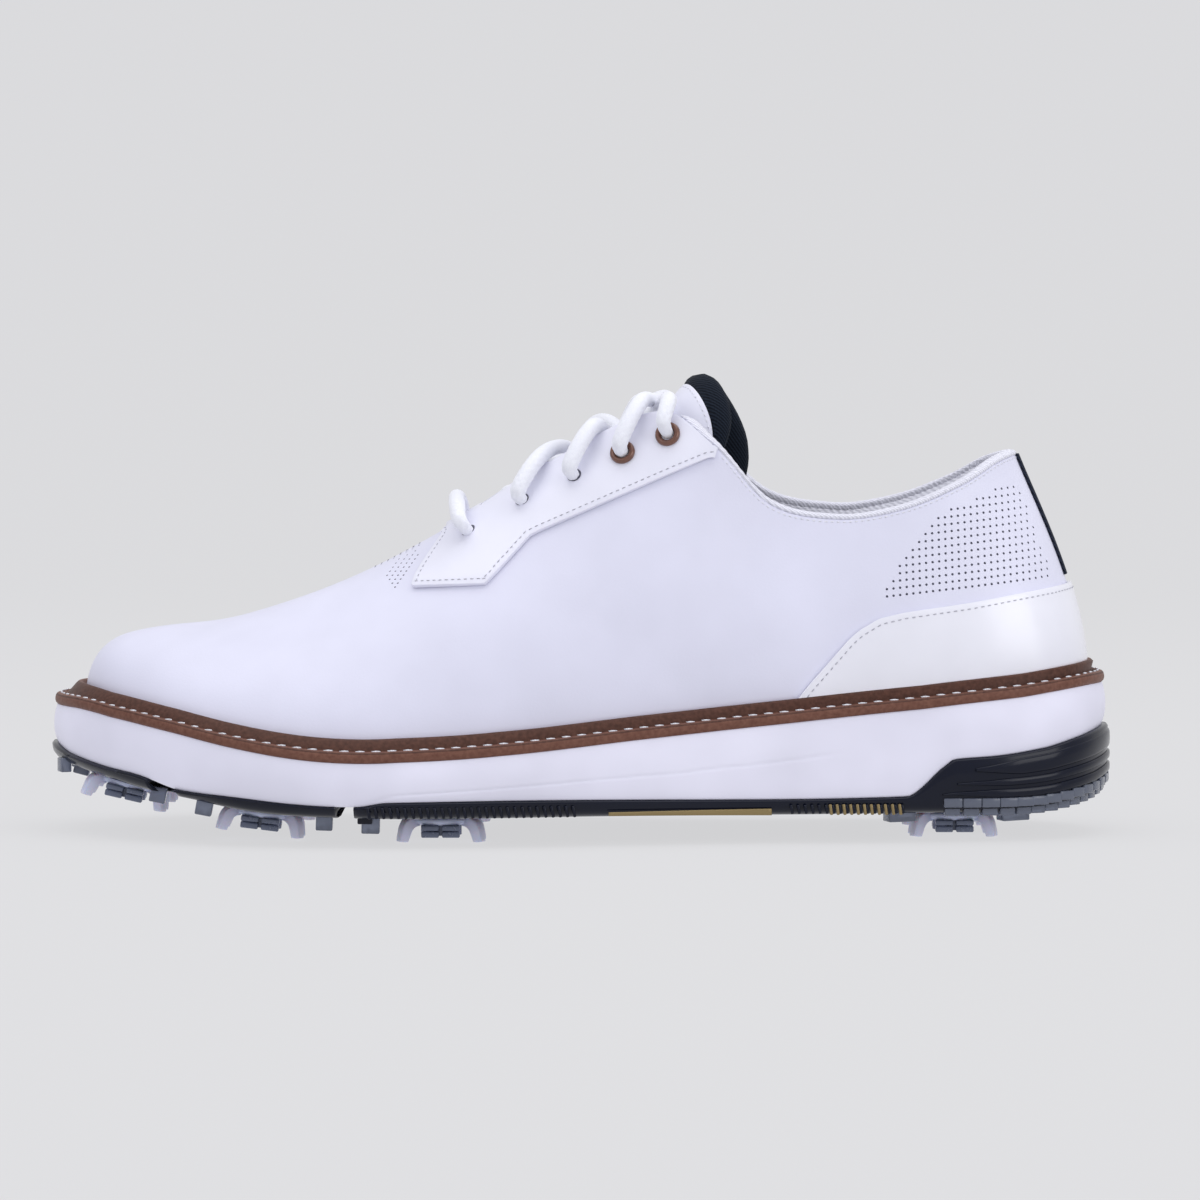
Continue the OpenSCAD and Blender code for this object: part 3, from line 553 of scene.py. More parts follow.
# --- Heel overlay ---------------------------------------------------------------------------------
# A band of coated, glossy white leather round the heel, from the welt up to a swept line. It is
# cemented over the upper and stitched along its top edge. It carries no mark.
overlay_line = [(60.7, 38.9), (63.4, 42.5), (75.7, 56.3), (78.4, 58.6), (84, 61.9), (91, 63.5), (110, 66.1),
                (124, 68.5), (140, 70.9)]
overlay_reach = wall_uv(61.2, 45)[0]


@lru_cache(maxsize=None)
def overlay_top(u):
    """v of the overlay's top edge, its corners eased."""
    return max(sum(v_at(u + k * 0.001, overlay_line) for k in (-1, 0, 1)) / 3, 0.075)


def overlay_place(s, t):
    """Overlay: s from its end on the outer side round the heel to its end on the inner one, t upward."""
    u = overlay_reach * (1 - 2 * s)
    return above(u, 0.06 + (overlay_top(u) - 0.06) * t, overlay_t + 0.15)


overlay_bm = bmesh.new()
lay(overlay_bm, 200, 16, overlay_place)
gloss_white = leather("gloss_white", (0.88, 0.88, 0.96), 0.2, cell=2.2, depth=0.012, coat=0.8)
heel_overlay_leather = add_object("heel_overlay_leather", overlay_bm, [gloss_white])
thicken(heel_overlay_leather, overlay_t, 0.4)
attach(heel_overlay_leather, "shoe")
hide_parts("heel_overlay")

seams_bm = bmesh.new()
edge = []
for k in range(321):
    u = overlay_reach * (1 - 2 * k / 320)
    edge.append((above(u, overlay_top(u), overlay_t + 0.17), skin_out(u, overlay_top(u))))
stitch_row(seams_bm, edge, 2.0, 1.3, 0.42, inset=-1.7)
overlay_stitches = add_object("overlay_stitches", seams_bm, [seam_shade_thread])
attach(overlay_stitches, "shoe")

# --- Heel strip -----------------------------------------------------------------------------------
# A narrow navy woven tape glued down over the back seam, from just above the heel overlay to the
# top of the collar. Its edges are thinner than its middle.
strip_line = [(100, 73), (160, 73)]


def strip_place(s, t):
    """Tape: s across it, t from its foot to the collar."""
    u = 0.008 - 0.016 * s
    low = v_at(u, strip_line)
    return above(u, low + (1 - low) * t, 1.0 - 0.35 * abs(2 * s - 1) ** 4)


def twill(name, dark, light, pitch, sheen=0.03):
    """Woven cloth: diagonal ribs a pitch in millimetres apart, crossed by finer ones, with a sheen."""
    material, tree, shader = new_material(name, dark, 0.85, Sheen_Weight=sheen, Sheen_Roughness=0.5,
                                          Specular_IOR_Level=0.15)
    ribs = waves(tree, "DIAGONAL", 363 / pitch, 0.4)
    weave = add_scaled(tree, waves(tree, "Z", 470 / pitch), 0.5, ribs)
    tones(tree, shader, weave, dark, light, 0.45, 1.0)
    relief(tree, shader, weave, 0.12, 0.6)
    return material


navy_tape = twill("navy_tape", (0.004, 0.006, 0.014), (0.020, 0.026, 0.048), 0.8)
strip_bm = bmesh.new()
lay(strip_bm, 10, 60, strip_place)
heel_tape = add_object("heel_tape", strip_bm, [navy_tape])
thicken(heel_tape, 0.9, 0.25)
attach(heel_tape, "shoe")
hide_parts("heel_strip")

# --- Collar binding -------------------------------------------------------------------------------
# A white woven tape folded over the collar's raw edge, from one top corner of the eyestay round
# the heel to the other, and sewn through with a fine white thread.
binding_reach = 0.256


def binding_place(s, t):
    """Section of the folded tape at each place along the collar, drawn down into a hem inside."""
    u = binding_reach * (2 * t - 1)
    heart = above(u, 1, -1.9) + Vector((0, 0, 1.1))
    ahead = (skin(u + 0.004, 1) - skin(u - 0.004, 1)).normalized()
    side = ahead.cross(Vector((0, 0, 1))).normalized()
    up = side.cross(ahead)
    turn = 2 * math.pi * s
    rib = 1 + 0.05 * math.sin(t * 760)
    flat = 1 - 0.75 * max(abs(2 * t - 1) - 0.97, 0) / 0.03
    hem = 1 + 2.2 * max(math.cos(turn), 0) * (math.sin(turn) < 0)
    return heart + (side * 1.95 * math.cos(turn) + up * hem * math.sin(turn)) * rib * flat


def close_ends(bm):
    """Fills the open ends of a tube and turns every face outward."""
    weld(bm, 0.002)
    rims = [edge for edge in bm.edges if edge.is_boundary]
    bmesh.ops.holes_fill(bm, edges=rims, sides=0)
    bmesh.ops.recalc_face_normals(bm, faces=bm.faces)


binding_bm = bmesh.new()
lay(binding_bm, 14, 620, binding_place)
close_ends(binding_bm)
white_tape = twill("white_tape", (0.66, 0.66, 0.74), (0.84, 0.84, 0.93), 0.7, sheen=0.2)
collar_tape = add_object("collar_tape", binding_bm, [white_tape])
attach(collar_tape, "shoe")
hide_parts("collar_binding")

seams_bm = bmesh.new()
edge = [(above(u, 0.985, 0.05), skin_out(u, 0.985)) for u in [0.225 * (1 - 2 * k / 200) for k in range(201)]]
stitch_row(seams_bm, edge, 1.7, 1.1, 0.36)
collar_stitches = add_object("collar_stitches", seams_bm, [white_thread])
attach(collar_stitches, "shoe")

# --- Lining and collar pad ------------------------------------------------------------------------
# A full pale mesh lining inside the upper. Round the ankle it covers a soft foam pad, so the
# collar swells toward the foot; the pad is glued between the upper and the lining.
lining_depth = leather_t + 1.22
lining_t = 1.0


def swell(u, v):
    """Thickness of the collar's foam at a point of the wall."""
    s = min(u % 1.0, 1 - u % 1.0)
    ease = min(max((0.185 - s) / 0.05, 0), 1)
    rise = min(max((v - 0.66) / 0.34, 0), 1)
    return 4.5 * ease * math.sin(math.pi * rise)


def lining_place(s, t):
    """Outer face of the lining, under the leather and round the collar's foam."""
    return above(1 - s, t, -lining_depth - swell(1 - s, t))


lining_bm = bmesh.new()
lay(lining_bm, 260, 36, lining_place)
lay(lining_bm, 43, 6, lambda s, t: vamp_bridge(throat_u + (0.5 - throat_u) * s, t, -lining_depth))
weld(lining_bm)
pale_mesh = twill("pale_mesh", (0.70, 0.70, 0.78), (0.88, 0.88, 0.96), 1.1, sheen=0.2)
lining_cloth = add_object("lining_mesh", lining_bm, [pale_mesh])
thicken(lining_cloth, lining_t, 0.2)
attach(lining_cloth, "shoe")
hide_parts("lining")


def pad_place(s, t):
    """Closed section of the foam pad at each u: out along the leather side, back along the lining."""
    u = 0.184 * (1 - 2 * t)
    turn = 2 * math.pi * s
    v = 0.835 + 0.155 * math.cos(turn)
    fill = 0.5 + 0.5 * math.sin(turn)
    return above(u, v, -leather_t - 0.15 - fill * (0.95 + swell(u, v)))


pad_bm = bmesh.new()
lay(pad_bm, 20, 130, pad_place)
close_ends(pad_bm)
foam = new_material("grey_foam", (0.16, 0.16, 0.19), 0.95)[0]
collar_pad = add_object("collar_pad", pad_bm, [foam])
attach(collar_pad, "shoe")
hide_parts("collar_padding")

# --- Tongue ---------------------------------------------------------------------------------------
# White leather outside on a padded navy twill lining that is turned over the top edge. It is sewn
# to the vamp at its front end and hinges there.
# Each row, from the front end to the top: x and z of its middle, half its width, drop to its edges
tongue_rows = [(-43, 75.5, 9, 3), (-30, 83, 11, 5), (-14, 92.5, 13, 9), (2, 102, 14, 13), (14, 109, 15, 16),
               (23.6, 116.6, 16, 18), (28, 125, 16.5, 20), (34, 130.6, 16, 20)]
tongue_y = 2.5


def along(points, s):
    """Smooth values along a list of points, s counted in points."""
    last = len(points) - 1
    i = min(int(s), last - 1)
    near = [points[min(max(i + k, 0), last)] for k in (-1, 0, 1, 2)]
    return [curve(*(point[j] for point in near), s - i) for j in range(len(points[0]))]


def tongue_point(s, angle, depth):
    """Point of the tongue: s from its front end to its top, angle across it, depth under its face."""
    corner = 0.14 * (angle / 96) ** 8
    share = min(max(s * (1 - corner), 0), 0.9999)
    x, z, wide, drop = along(tongue_rows, share * (len(tongue_rows) - 1))
    fall = depth + (drop - depth) * (1 - math.cos(math.radians(angle)))
    part = min(abs(angle) / 84, 1)
    round_top = 3.3 * math.sin(0.85 * math.pi * part ** 0.85) * max(s - 0.72, 0) / 0.28
    wing = max(angle - 35, 0) / 49 * max(s - 0.45, 0) / 0.55
    return Vector((x + 0.5 * fall + round_top + 6.0 * wing,
                   tongue_y + (wide - depth) * math.sin(math.radians(angle)),
                   z - 0.866 * fall + 0.6 * round_top - 6.5 * wing))


tongue_bm = bmesh.new()
lay(tongue_bm, 56, 80, lambda s, t: tongue_point(0.90 * t, 93 * (2 * s - 1), 0.05))
face_up(tongue_bm)
tongue_leather = add_object("tongue_leather", tongue_bm, [eyestay_white])
thicken(tongue_leather, 1.2, 0.4)
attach(tongue_leather, "tongue")
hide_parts("tongue_face")

# Depth of the pad's two faces under the leather at steps along it: s, outer, inner
pad_steps = [(0.12, 1.40, 3.6), (0.25, 1.40, 5.2), (0.5, 1.40, 6.4), (0.75, 1.40, 6.4), (0.87, 1.36, 6.2),
             (0.898, 1.1, 6.5), (0.906, 0.1, 6.7), (0.93, -0.35, 6.6), (0.96, -0.2, 6.2), (0.985, 0.6, 5.2),
             (1.0, 1.9, 3.6)]


def tongue_pad_place(s, t):
    """Closed section of the pad at each step along the tongue, wrapped round its top edge."""
    reach = 0.12 + 0.88 * t ** 0.8
    outer = straight([(a, b) for a, b, _ in pad_steps], reach)
    inner = straight([(a, c) for a, _, c in pad_steps], reach)
    turn = 2 * math.pi * s
    across = 96 * math.copysign(abs(math.cos(turn)) ** 0.8, math.cos(turn))
    fill = 0.5 + 0.5 * math.copysign(abs(math.sin(turn)) ** 0.35, math.sin(turn))
    return tongue_point(reach, across, outer + (inner - outer) * fill)


tongue_pad_bm = bmesh.new()
lay(tongue_pad_bm, 64, 90, tongue_pad_place)
close_ends(tongue_pad_bm)
navy_twill = twill("navy_twill", (0.003, 0.005, 0.010), (0.013, 0.019, 0.032), 0.7)
tongue_pad = add_object("tongue_pad", tongue_pad_bm, [navy_twill])
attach(tongue_pad, "tongue")
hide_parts("tongue_padding")

seams_bm = bmesh.new()
edge = []
seam_s = 0.885
for k in range(121):
    angle = 88 * (2 * k / 120 - 1)
    p = tongue_point(seam_s, angle, 0.0)
    edge.append((p, (p - tongue_point(seam_s, angle, 2.0)).normalized()))
stitch_row(seams_bm, edge, 1.8, 1.15, 0.36)
tongue_stitches = add_object("tongue_stitches", seams_bm, [white_thread])
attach(tongue_stitches, "tongue")

# --- Eyelets and lace -----------------------------------------------------------------------------
# Enamelled metal eyelets line the two upper hole pairs and the lower three are plain punched holes.
# One round braided lace, 4.4 mm across, runs through all ten and is tucked in behind the top pair.
# x and z of the five hole pairs, from the front
hole_at = [(-30, 85.2), (-15, 94), (-0.5, 101), (13, 107.4), (25.7, 112.6)]
# The lace's two halves, each from the front bar to its hidden end: x, y, z and radius
half_a = [
    (-30, -17.5, 85, 1.5), (-27.5, -14.5, 81, 1.3), (-24, -9.5, 88, 1.3), (-20, 0, 92.5, 1.8),
    (-14.5, 12.5, 94.5, 1.5), (-13, 19.5, 91, 1.3), (-15, 24, 94, 1.5), (-16, 27.5, 98, 2.2),
    (-10, 20.5, 107, 2.2), (-4, 5, 105, 1.9), (1.5, -10, 104.5, 1.5), (1.5, -16, 98, 1.3),
    (-0.5, -20, 101, 1.5), (-2, -24, 105, 2.2), (4.5, -16.5, 115.5, 2.2), (10, 0, 111.5, 1.9),
    (14.5, 14.5, 110.5, 1.5), (14, 19.5, 105.5, 1.3), (13, 24.5, 107.5, 1.5), (12.5, 28.5, 111.5, 2.2),
    (17.5, 22, 122, 2.2), (21.5, 3, 118.5, 1.9), (25.5, -18, 123, 2.2), (24, -26, 117, 2.0),
    (25.7, -21.3, 112.6, 1.5), (27.5, -16, 109.5, 1.3), (31, -16.5, 104, 1.3)]
half_b = [
    (-30, 23.5, 85, 1.5), (-27.5, 20, 81, 1.3), (-24, 14.5, 88, 1.3), (-20, 2.5, 96.5, 1.8),
    (-14, -7, 95, 1.5), (-12.5, -15, 91, 1.3), (-15, -19, 94, 1.5), (-16.5, -22, 98, 2.2),
    (-10.5, -14.5, 107, 2.2), (-4, 3, 109.5, 1.9), (1.5, 15, 105, 1.5), (1, 19.5, 98.5, 1.3),
    (-0.5, 24.5, 101, 1.5), (-1.5, 28.5, 105, 2.2), (4.5, 22, 115.5, 2.2), (10, 3, 116, 1.9),
    (14.5, -9.5, 110.5, 1.5), (14.5, -15.5, 105, 1.3), (13, -20.5, 107.5, 1.5), (12, -25, 111.5, 2.2),
    (17.5, -18, 122, 2.2), (21.5, 2, 122.8, 1.9), (25.5, 23, 123, 2.2), (24, 30.5, 117, 2.0),
    (25.7, 25.7, 112.6, 1.5), (27.5, 20.8, 109.5, 1.3), (31, 21.5, 104, 1.3)]
# The short run that joins the halves over the front pair
bar = [(-33, -21, 89, 2.0), (-34, -12, 93, 2.2), (-34.5, 3.5, 95, 2.2), (-34, 18, 93, 2.2),
       (-33, 26, 89, 2.0)]
route = half_a[::-1] + bar + half_b


def route_point(s):
    """Place on the lace and its radius there, s counted in points of the route."""
    x, y, z, r = along(route, s)
    return Vector((x, y, z)), r


lace_samples = 1500
lace_spine = []
side = Vector((0, 0, 1))
travel = 0.0
route_end = len(route) - 1
for k in range(lace_samples + 1):
    s = k * route_end / lace_samples
    p, r = route_point(s)
    ahead = (route_point(min(s + 0.1, route_end))[0] - route_point(max(s - 0.1, 0))[0]).normalized()
    side = (side - ahead * side.dot(ahead)).normalized()
    travel += (p - lace_spine[-1][0]).length if lace_spine else 0
    lace_spine.append((p, r, side.copy(), ahead.cross(side), travel))


def lace_place(s, t):
    """Braided surface: two sets of strands that wind opposite ways stand up in turn."""
    p, r, side, other, run = lace_spine[round(t * lace_samples)]
    turn = 2 * math.pi * s
    strands, strand_pitch = 6, 2.25
    wind = 2 * math.pi * run / strand_pitch
    raised = 0.055 * max(math.cos(strands * turn + wind), math.cos(strands * turn - wind))
    return p + (side * math.cos(turn) + other * math.sin(turn)) * r * (1 + raised)


lace_bm = bmesh.new()
lay(lace_bm, 28, lace_samples, lace_place)
close_ends(lace_bm)
lace_cotton, tree, shader = new_material("lace_cotton", (0.80, 0.80, 0.93), 0.8, Sheen_Weight=0.4,
                                         Sheen_Roughness=0.5)
fuzz = noise(tree, 2600, 3)
tones(tree, shader, fuzz, (0.78, 0.79, 0.88), (0.94, 0.95, 1.0))
relief(tree, shader, fuzz, 0.1, 0.5)
lace = add_object("braided_lace", lace_bm, [lace_cotton])
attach(lace, "shoe")
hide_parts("lace")

# The three lower lace holes are dark cups, painted shade for the open holes.
holes_bm = bmesh.new()
for x, z in hole_at[:3]:
    for inner in (False, True):
        u, v = wall_uv(x, z, inner)
        bmesh.ops.create_cone(holes_bm, cap_ends=True, segments=24, radius1=1.7 * MM, radius2=2.1 * MM,
                              depth=0.5 * MM, matrix=facing(above(u, v, overlay_t + 0.1), skin_out(u, v)))
lace_holes = add_object("lace_holes", holes_bm, [hole_dark_shade])
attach(lace_holes, "shoe")

enamel, tree, shader = new_material("brown_enamel", (0.155, 0.062, 0.036), 0.28, Metallic=0.35,
                                    Coat_Weight=0.6, Coat_Roughness=0.15)
tones(tree, shader, noise(tree, 700), (0.11, 0.042, 0.026), (0.21, 0.09, 0.055))
# Section of an eyelet from its barrel to its rolled rim: radius, height over the leather
eyelet_section = [(1.75, -1.2), (1.8, 1.9), (2.3, 2.75), (2.9, 2.9), (3.4, 2.55), (3.6, 1.9), (3.55, 1.5)]


def eyelet_place(u, v):
    """An eyelet's section turned round the hole at u, v."""
    axes = facing(skin(u, v), skin_out(u, v)).to_3x3()

    def place(s, t):
        r, z = eyelet_section[round(t * (len(eyelet_section) - 1))]
        turn = -2 * math.pi * s
        return axes @ Vector((r * math.cos(turn), r * math.sin(turn), z)) + skin(u, v)
    return place


eyelet_bm = bmesh.new()
for x, z in hole_at[3:]:
    for inner in (False, True):
        lay(eyelet_bm, 40, len(eyelet_section) - 1, eyelet_place(*wall_uv(x, z, inner)))
weld(eyelet_bm)
bmesh.ops.recalc_face_normals(eyelet_bm, faces=eyelet_bm.faces)
eyelet_rings = add_object("eyelet_rings", eyelet_bm, [enamel])
thicken(eyelet_rings, 0.25, 0.05)
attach(eyelet_rings, "shoe")
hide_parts("eyelets")

# --- Welt -----------------------------------------------------------------------------------------
# A brown moulded strip with a ledge, a stitch groove and a lip that turns up against the leather.
# White waxed thread is lockstitched along the groove through the strip and the midsole's edge.
ledge_out = 6.8
# Outside of the section, from under the edge over the ledge into the groove: offset, height
welt_profile = [(-0.2, 0.15), (0.25, 0.6), (0.42, 1.2), (0.4, 1.9), (0.2, 2.6), (-0.15, 3.05), (-0.7, 3.25),
                (-1.5, 3.3), (-2.0, 3.1), (-2.3, 2.7), (-2.7, 2.5), (-3.1, 2.7), (-3.35, 3.3)]
welt_lip = [(2.6, 5.9), (1.9, 6.5), (0.9, 6.3)]


def ledge_at(u):
    """How far the ledge stands out from the foot of the wall, a little more toward the toe."""
    return ledge_out - 0.01 * row_at(u)[0]


def welt_place(s, t):
    """Section of the welt at each u: t runs round the outside, over the groove and down the leather."""
    u = 1 - s
    section = [(ledge_at(u) + off, up) for off, up in welt_profile] + welt_lip
    k = round(t * len(section))
    if k == len(section):
        return plan(u, 0.12, z_ledge(row_at(u)[0]) + 0.15)
    p = plan(u, section[k][0], 0)
    return Vector((p.x, p.y, z_ledge(p.x) + section[k][1]))


welt_bm = bmesh.new()
lay(welt_bm, 420, len(welt_profile) + 3, welt_place)
lay(welt_bm, 420, 1, lambda s, t: welt_place(s, 1 - t))
close_ends(welt_bm)


def brown_strip(name, dark, light):
    """Dyed moulded strip: mottled brown with a fine grain."""
    material, tree, shader = new_material(name, dark, 0.5, Specular_IOR_Level=0.2)
    grain = noise(tree, 900, 5)
    tones(tree, shader, grain, dark, light, 0.3, 0.72)
    relief(tree, shader, grain, 0.08, 0.4)
    return material


edge_brown = brown_strip("welt_edge_brown", (0.128, 0.052, 0.036), (0.200, 0.092, 0.064))
# The lip's darker brown is partly the strip's own darker dye and partly painted shade for the lip's shadowed
# face.
lip_dye_and_shade = brown_strip("welt_lip_dye_and_shade", (0.060, 0.023, 0.015), (0.110, 0.046, 0.031))
# Faces of the lip and of the stitch groove's floor take the darker brown; in the groove it is painted shade
# in the recess.
for face in welt_bm.faces:
    spot = face.calc_center_median() / MM
    rise = spot.z - z_ledge(spot.x)
    on_lip = rise > 3.5 and face.normal.z < 0.93
    in_groove = abs(rise - 2.65) < 0.25 and face.normal.z > 0.3
    face.material_index = 1 if on_lip or in_groove else 0
welt_strip = add_object("welt_strip", welt_bm, [edge_brown, lip_dye_and_shade])
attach(welt_strip, "shoe")
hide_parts("welt")

seams_bm = bmesh.new()
edge = []
for k in range(721):
    u = k / 720
    p = plan(u, ledge_at(u) - 1.35, 0)
    p.z = z_ledge(p.x) + 3.37
    edge.append((p, (Vector((0, 0, 1)) + outward(u) * 0.3).normalized()))
stitch_row(seams_bm, edge, 4.4, 3.1, 0.75)
welt_stitches = add_object("welt_stitches", seams_bm, [white_thread])
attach(welt_stitches, "shoe")
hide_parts("welt_thread")

# --- Insole board and sockliner -------------------------------------------------------------------
# The upper is lasted on a fibre board; a cushioned navy sockliner lies loose on it and carries the
# foot. Only the sockliner shows, down through the ankle opening.
bed_off = -(lining_depth + lining_t + 0.7)
# Section from the edge inward: offset from the outline, height over the ledge
bed_section = [(-0.3, 2.15), (-0.05, 3.2), (-0.1, 5.6), (-0.8, 6.6), (-2.6, 7.0), (-9.0, 6.1), (-18.0, 5.9)]


def sock_place(s, t):
    """Section across the sockliner between facing points of its outline, over the top and back."""
    u = 0.0008 + 0.4984 * s
    n = len(bed_section)
    k = round(t * (2 * n - 1))
    off, up = bed_section[k] if k < n else bed_section[2 * n - 1 - k]
    short_of_middle = -0.45 * abs(row_at(u)[1] - row_at(1 - u)[1])
    p = plan(u if k < n else 1 - u, bed_off + max(off, short_of_middle), 0)
    return Vector((p.x, p.y, z_ledge(p.x) + up))


sock_bm = bmesh.new()
lay(sock_bm, 120, 2 * len(bed_section) - 1, sock_place)
lay(sock_bm, 120, 1, lambda s, t: sock_place(s, 1 - t))
close_ends(sock_bm)
sockliner_cloth = twill("sockliner_cloth", (0.010, 0.016, 0.032), (0.04, 0.055, 0.09), 1.4)
sockliner = add_object("sockliner_pad", sock_bm, [sockliner_cloth])
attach(sockliner, "shoe")
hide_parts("sockliner")

# --- Midsole --------------------------------------------------------------------------------------
# One white moulded foam unit with a slightly crowned side wall. A shallow parting line runs along
# the waist, and the wall ends on the rims of the outsole mouldings, highest round the heel.
# Heights over x: under the outsole, its rim on the wall, and the parting line
sole_low = [(-151, 24.5), (-147, 21.4), (-140, 19.4), (-127, 16.4), (-114, 13.6), (-107, 12.4), (-93, 9.8),
            (-82, 8.5), (-70, 7.9), (-50, 7.5), (0, 7.6), (60, 7.4), (95, 7.7), (118, 7.6), (129, 8.2),
            (140, 10.6), (146, 13.4), (151, 18)]
pod_edge = [(-151, 34.5), (-149, 30.5), (-144, 26.2), (-137, 22.5), (-127, 19.9), (-117, 18), (-107, 14.6),
            (-93, 13.2), (-75, 11.4), (-60, 10.9), (-53, 12.0), (-21, 12.4), (92, 12.4), (103, 21.6),
            (106, 22.8), (117, 23.6), (129, 25.5), (137, 28), (144, 30.2), (151, 32.4)]
parting = [(-60, 12.6), (-49.3, 14.6), (28.3, 19.9), (52.7, 22.4), (78, 25.4)]
plate_t, cup_t = 4.6, 2.2


def toe_heel_flare(u):
    """How much further the mouldings stand out at the very ends."""
    return 1.1 * (row_at(u)[0] / 145) ** 8


def midsole_place(s, t):
    """Side wall of the midsole from its bottom edge (t = 0) up to the welt (t = 1)."""
    u = 1 - s
    x = row_at(u)[0]
    low, high = height(pod_edge, x) + 0.45, z_ledge(plan(u, ledge_at(u), 0).x) + 0.12
    z = low + (high - low) * t
    bulge = 0.75 * math.sin(math.pi * min(t * 1.05, 1)) - 0.2 * t ** 14 - 0.35 * (1 - t) ** 10
    line = height(parting, x)
    crease = 0.0
    if -58 < x < 76:
        fade = min((x + 58) / 8, (76 - x) / 12, 1)
        crease = -0.22 * fade * math.exp(-((z - line) / 0.3) ** 2)
    return plan(u, ledge_at(u) + bulge + crease, z)


def lid(bm, rim_t, drop):
    """Closes the midsole between facing points of a rim; the middle lies lower by drop."""
    def place(s, t):
        u = 0.5 * s
        a, b = midsole_place(1 - u, rim_t), midsole_place(u if u > 0 else 1, rim_t)
        p = a.lerp(b, t)
        if 0 < t < 1:
            p.z -= drop
        return p
    lay(bm, 210, 12, place)


midsole_bm = bmesh.new()
lay(midsole_bm, 420, 44, midsole_place)
lid(midsole_bm, 0.0, 0.4)
lid(midsole_bm, 1.0, 0.0)
weld(midsole_bm, 0.02)
bmesh.ops.recalc_face_normals(midsole_bm, faces=midsole_bm.faces)


def moulded(name, colour, roughness, speck=700, depth=0.04, **sockets):
    """Moulded plastic or foam: a fine matt texture, faint flow marks and slight shade changes."""
    material, tree, shader = new_material(name, colour, roughness, **sockets)
    fine = noise(tree, speck, 4)
    tones(tree, shader, noise(tree, 35), shaded(colour, 0.93), shaded(colour, 1.05), 0.3, 0.7)
    gloss_range(tree, shader, fine, roughness - 0.05, roughness + 0.07)
    relief(tree, shader, fine, depth, 0.3)
    return material


midsole_white = moulded("midsole_white", (0.82, 0.81, 0.94), 0.5, speck=1500, depth=0.03)
midsole = add_object("midsole_unit", midsole_bm, [midsole_white])
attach(midsole, "shoe")
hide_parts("midsole")

# --- Outsole mouldings ----------------------------------------------------------------------------
# Three pieces of smoky navy TPU, cemented under the midsole with gaps between them where the
# sole flexes: a toe pod, a forefoot pod, and the main piece, whose heel wraps up into a cup.
def z_low(x):
    """Height of the underside."""
    return height(sole_low, x)


def z_edge(x):
    """Height of the rim on the side wall."""
    return height(pod_edge, x)


def outsole_rim(x, k):
    """Offset and height of the section at step k: inside the cup, over its lip, down and under."""
    low, edge = z_low(x), z_edge(x)
    section = [(-cup_t - 2.6, min(low + plate_t, edge - 0.3)), (-cup_t - 0.3, min(low + plate_t + 1.2, edge)),
               (-cup_t, edge + 0.3), (-cup_t + 0.5, edge + 0.45), (0.0, edge + 0.3), (0.45, edge - 0.3),
               (0.4, edge * 0.65 + (low + 3) * 0.35), (0.35, edge * 0.3 + (low + 3) * 0.7), (0.1, low + 2.6),
               (-0.8, low + 1.4), (-2.2, low + 0.55), (-4.5, low + 0.15), (-7.5, low), (-14, low)]
    return section[k]


def outsole_place(u0, u1):
    """Closed section across the shoe between facing points, from u0 to u1 along it."""
    def place(s, t):
        u = u0 + (u1 - u0) * s
        k = round(t * 27)
        near = k < 14
        v = u if near else 1 - u
        off, z = outsole_rim(row_at(v)[0], k if near else 27 - k)
        half = 0.47 * abs(row_at(u)[1] - row_at(1 - u)[1]) + ledge_at(v)
        return plan(v, ledge_at(v) + toe_heel_flare(v) + max(off, -half), z)
    return place


def u_at(x):
    """u at which the outer side's foot line passes x."""
    return crossing(0.0, 0.5, 20, lambda u: row_at(u)[0] > x)


def outsole_bm(u0, u1, wide):
    """One closed moulding from u0 to u1."""
    bm = bmesh.new()
    place = outsole_place(u0, u1)
    lay(bm, wide, 27, place)
    lay(bm, wide, 1, lambda s, t: place(s, 1 - t))
    close_ends(bm)
    return bm


def block(bm, matrix, size, bevel):
    """A moulded lug: a cube of a given size with rounded edges."""
    made = bmesh.ops.create_cube(bm, size=1, matrix=matrix @ Matrix.Diagonal((*[c * MM for c in size], 1)))
    edges = list({edge for vert in made["verts"] for edge in vert.link_edges})
    bmesh.ops.bevel(bm, geom=edges, offset=bevel * MM, offset_type="OFFSET", segments=2, profile=0.5,
                    affect="EDGES", material=-1)


def side_lug(bm, u, z, size, lean, off):
    """A lug on the side wall: its size up, along and out, its lean, and how far out its middle is."""
    place = plan(u, ledge_at(u) + toe_heel_flare(u) + off, z)
    axes = facing(place, outward(u), Vector((0, 0, 1)))
    block(bm, axes @ Matrix.Rotation(lean, 4, "Z"), size, 0.3)


def under_lug(bm, x, y, size, turn, deep):
    """A lug under the sole, turned in plan and standing a depth below it."""
    lean = math.atan((z_low(x + 2) - z_low(x - 2)) / 4)
    axes = Matrix.Translation(Vector((x, y, z_low(x) - deep / 2 + 0.4)) * MM) @ Matrix.Rotation(-lean, 4, "Y")
    block(bm, axes @ Matrix.Rotation(turn, 4, "Z"), (size[0], size[1], deep + 0.8), 0.35)


smoky_tpu = moulded("smoky_tpu", (0.0022, 0.0040, 0.0140), 0.20, speck=400, depth=0.02,
                    Coat_Weight=0.12, Coat_Roughness=0.08, Specular_IOR_Level=0.22)
clear_tpu = moulded("clear_tpu", (0.24, 0.27, 0.36), 0.15, speck=400, depth=0.02,
                    Transmission_Weight=0.55, IOR=1.48, Specular_IOR_Level=0.5)


def outsole_piece(name, bm, node, material):
    """Finishes a moulding or its clear lugs; node is the frame piece that it stands for, if any."""
    piece = add_object(name, bm, [material])
    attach(piece, "shoe")
    if node:
        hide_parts(node)


outsole_piece("outsole_toe", outsole_bm(u_at(-114.5), 0.4992, 60), "toe_pod", smoky_tpu)
outsole_piece("outsole_forefoot", outsole_bm(u_at(-66), u_at(-107.5), 40), "forefoot_pod", smoky_tpu)

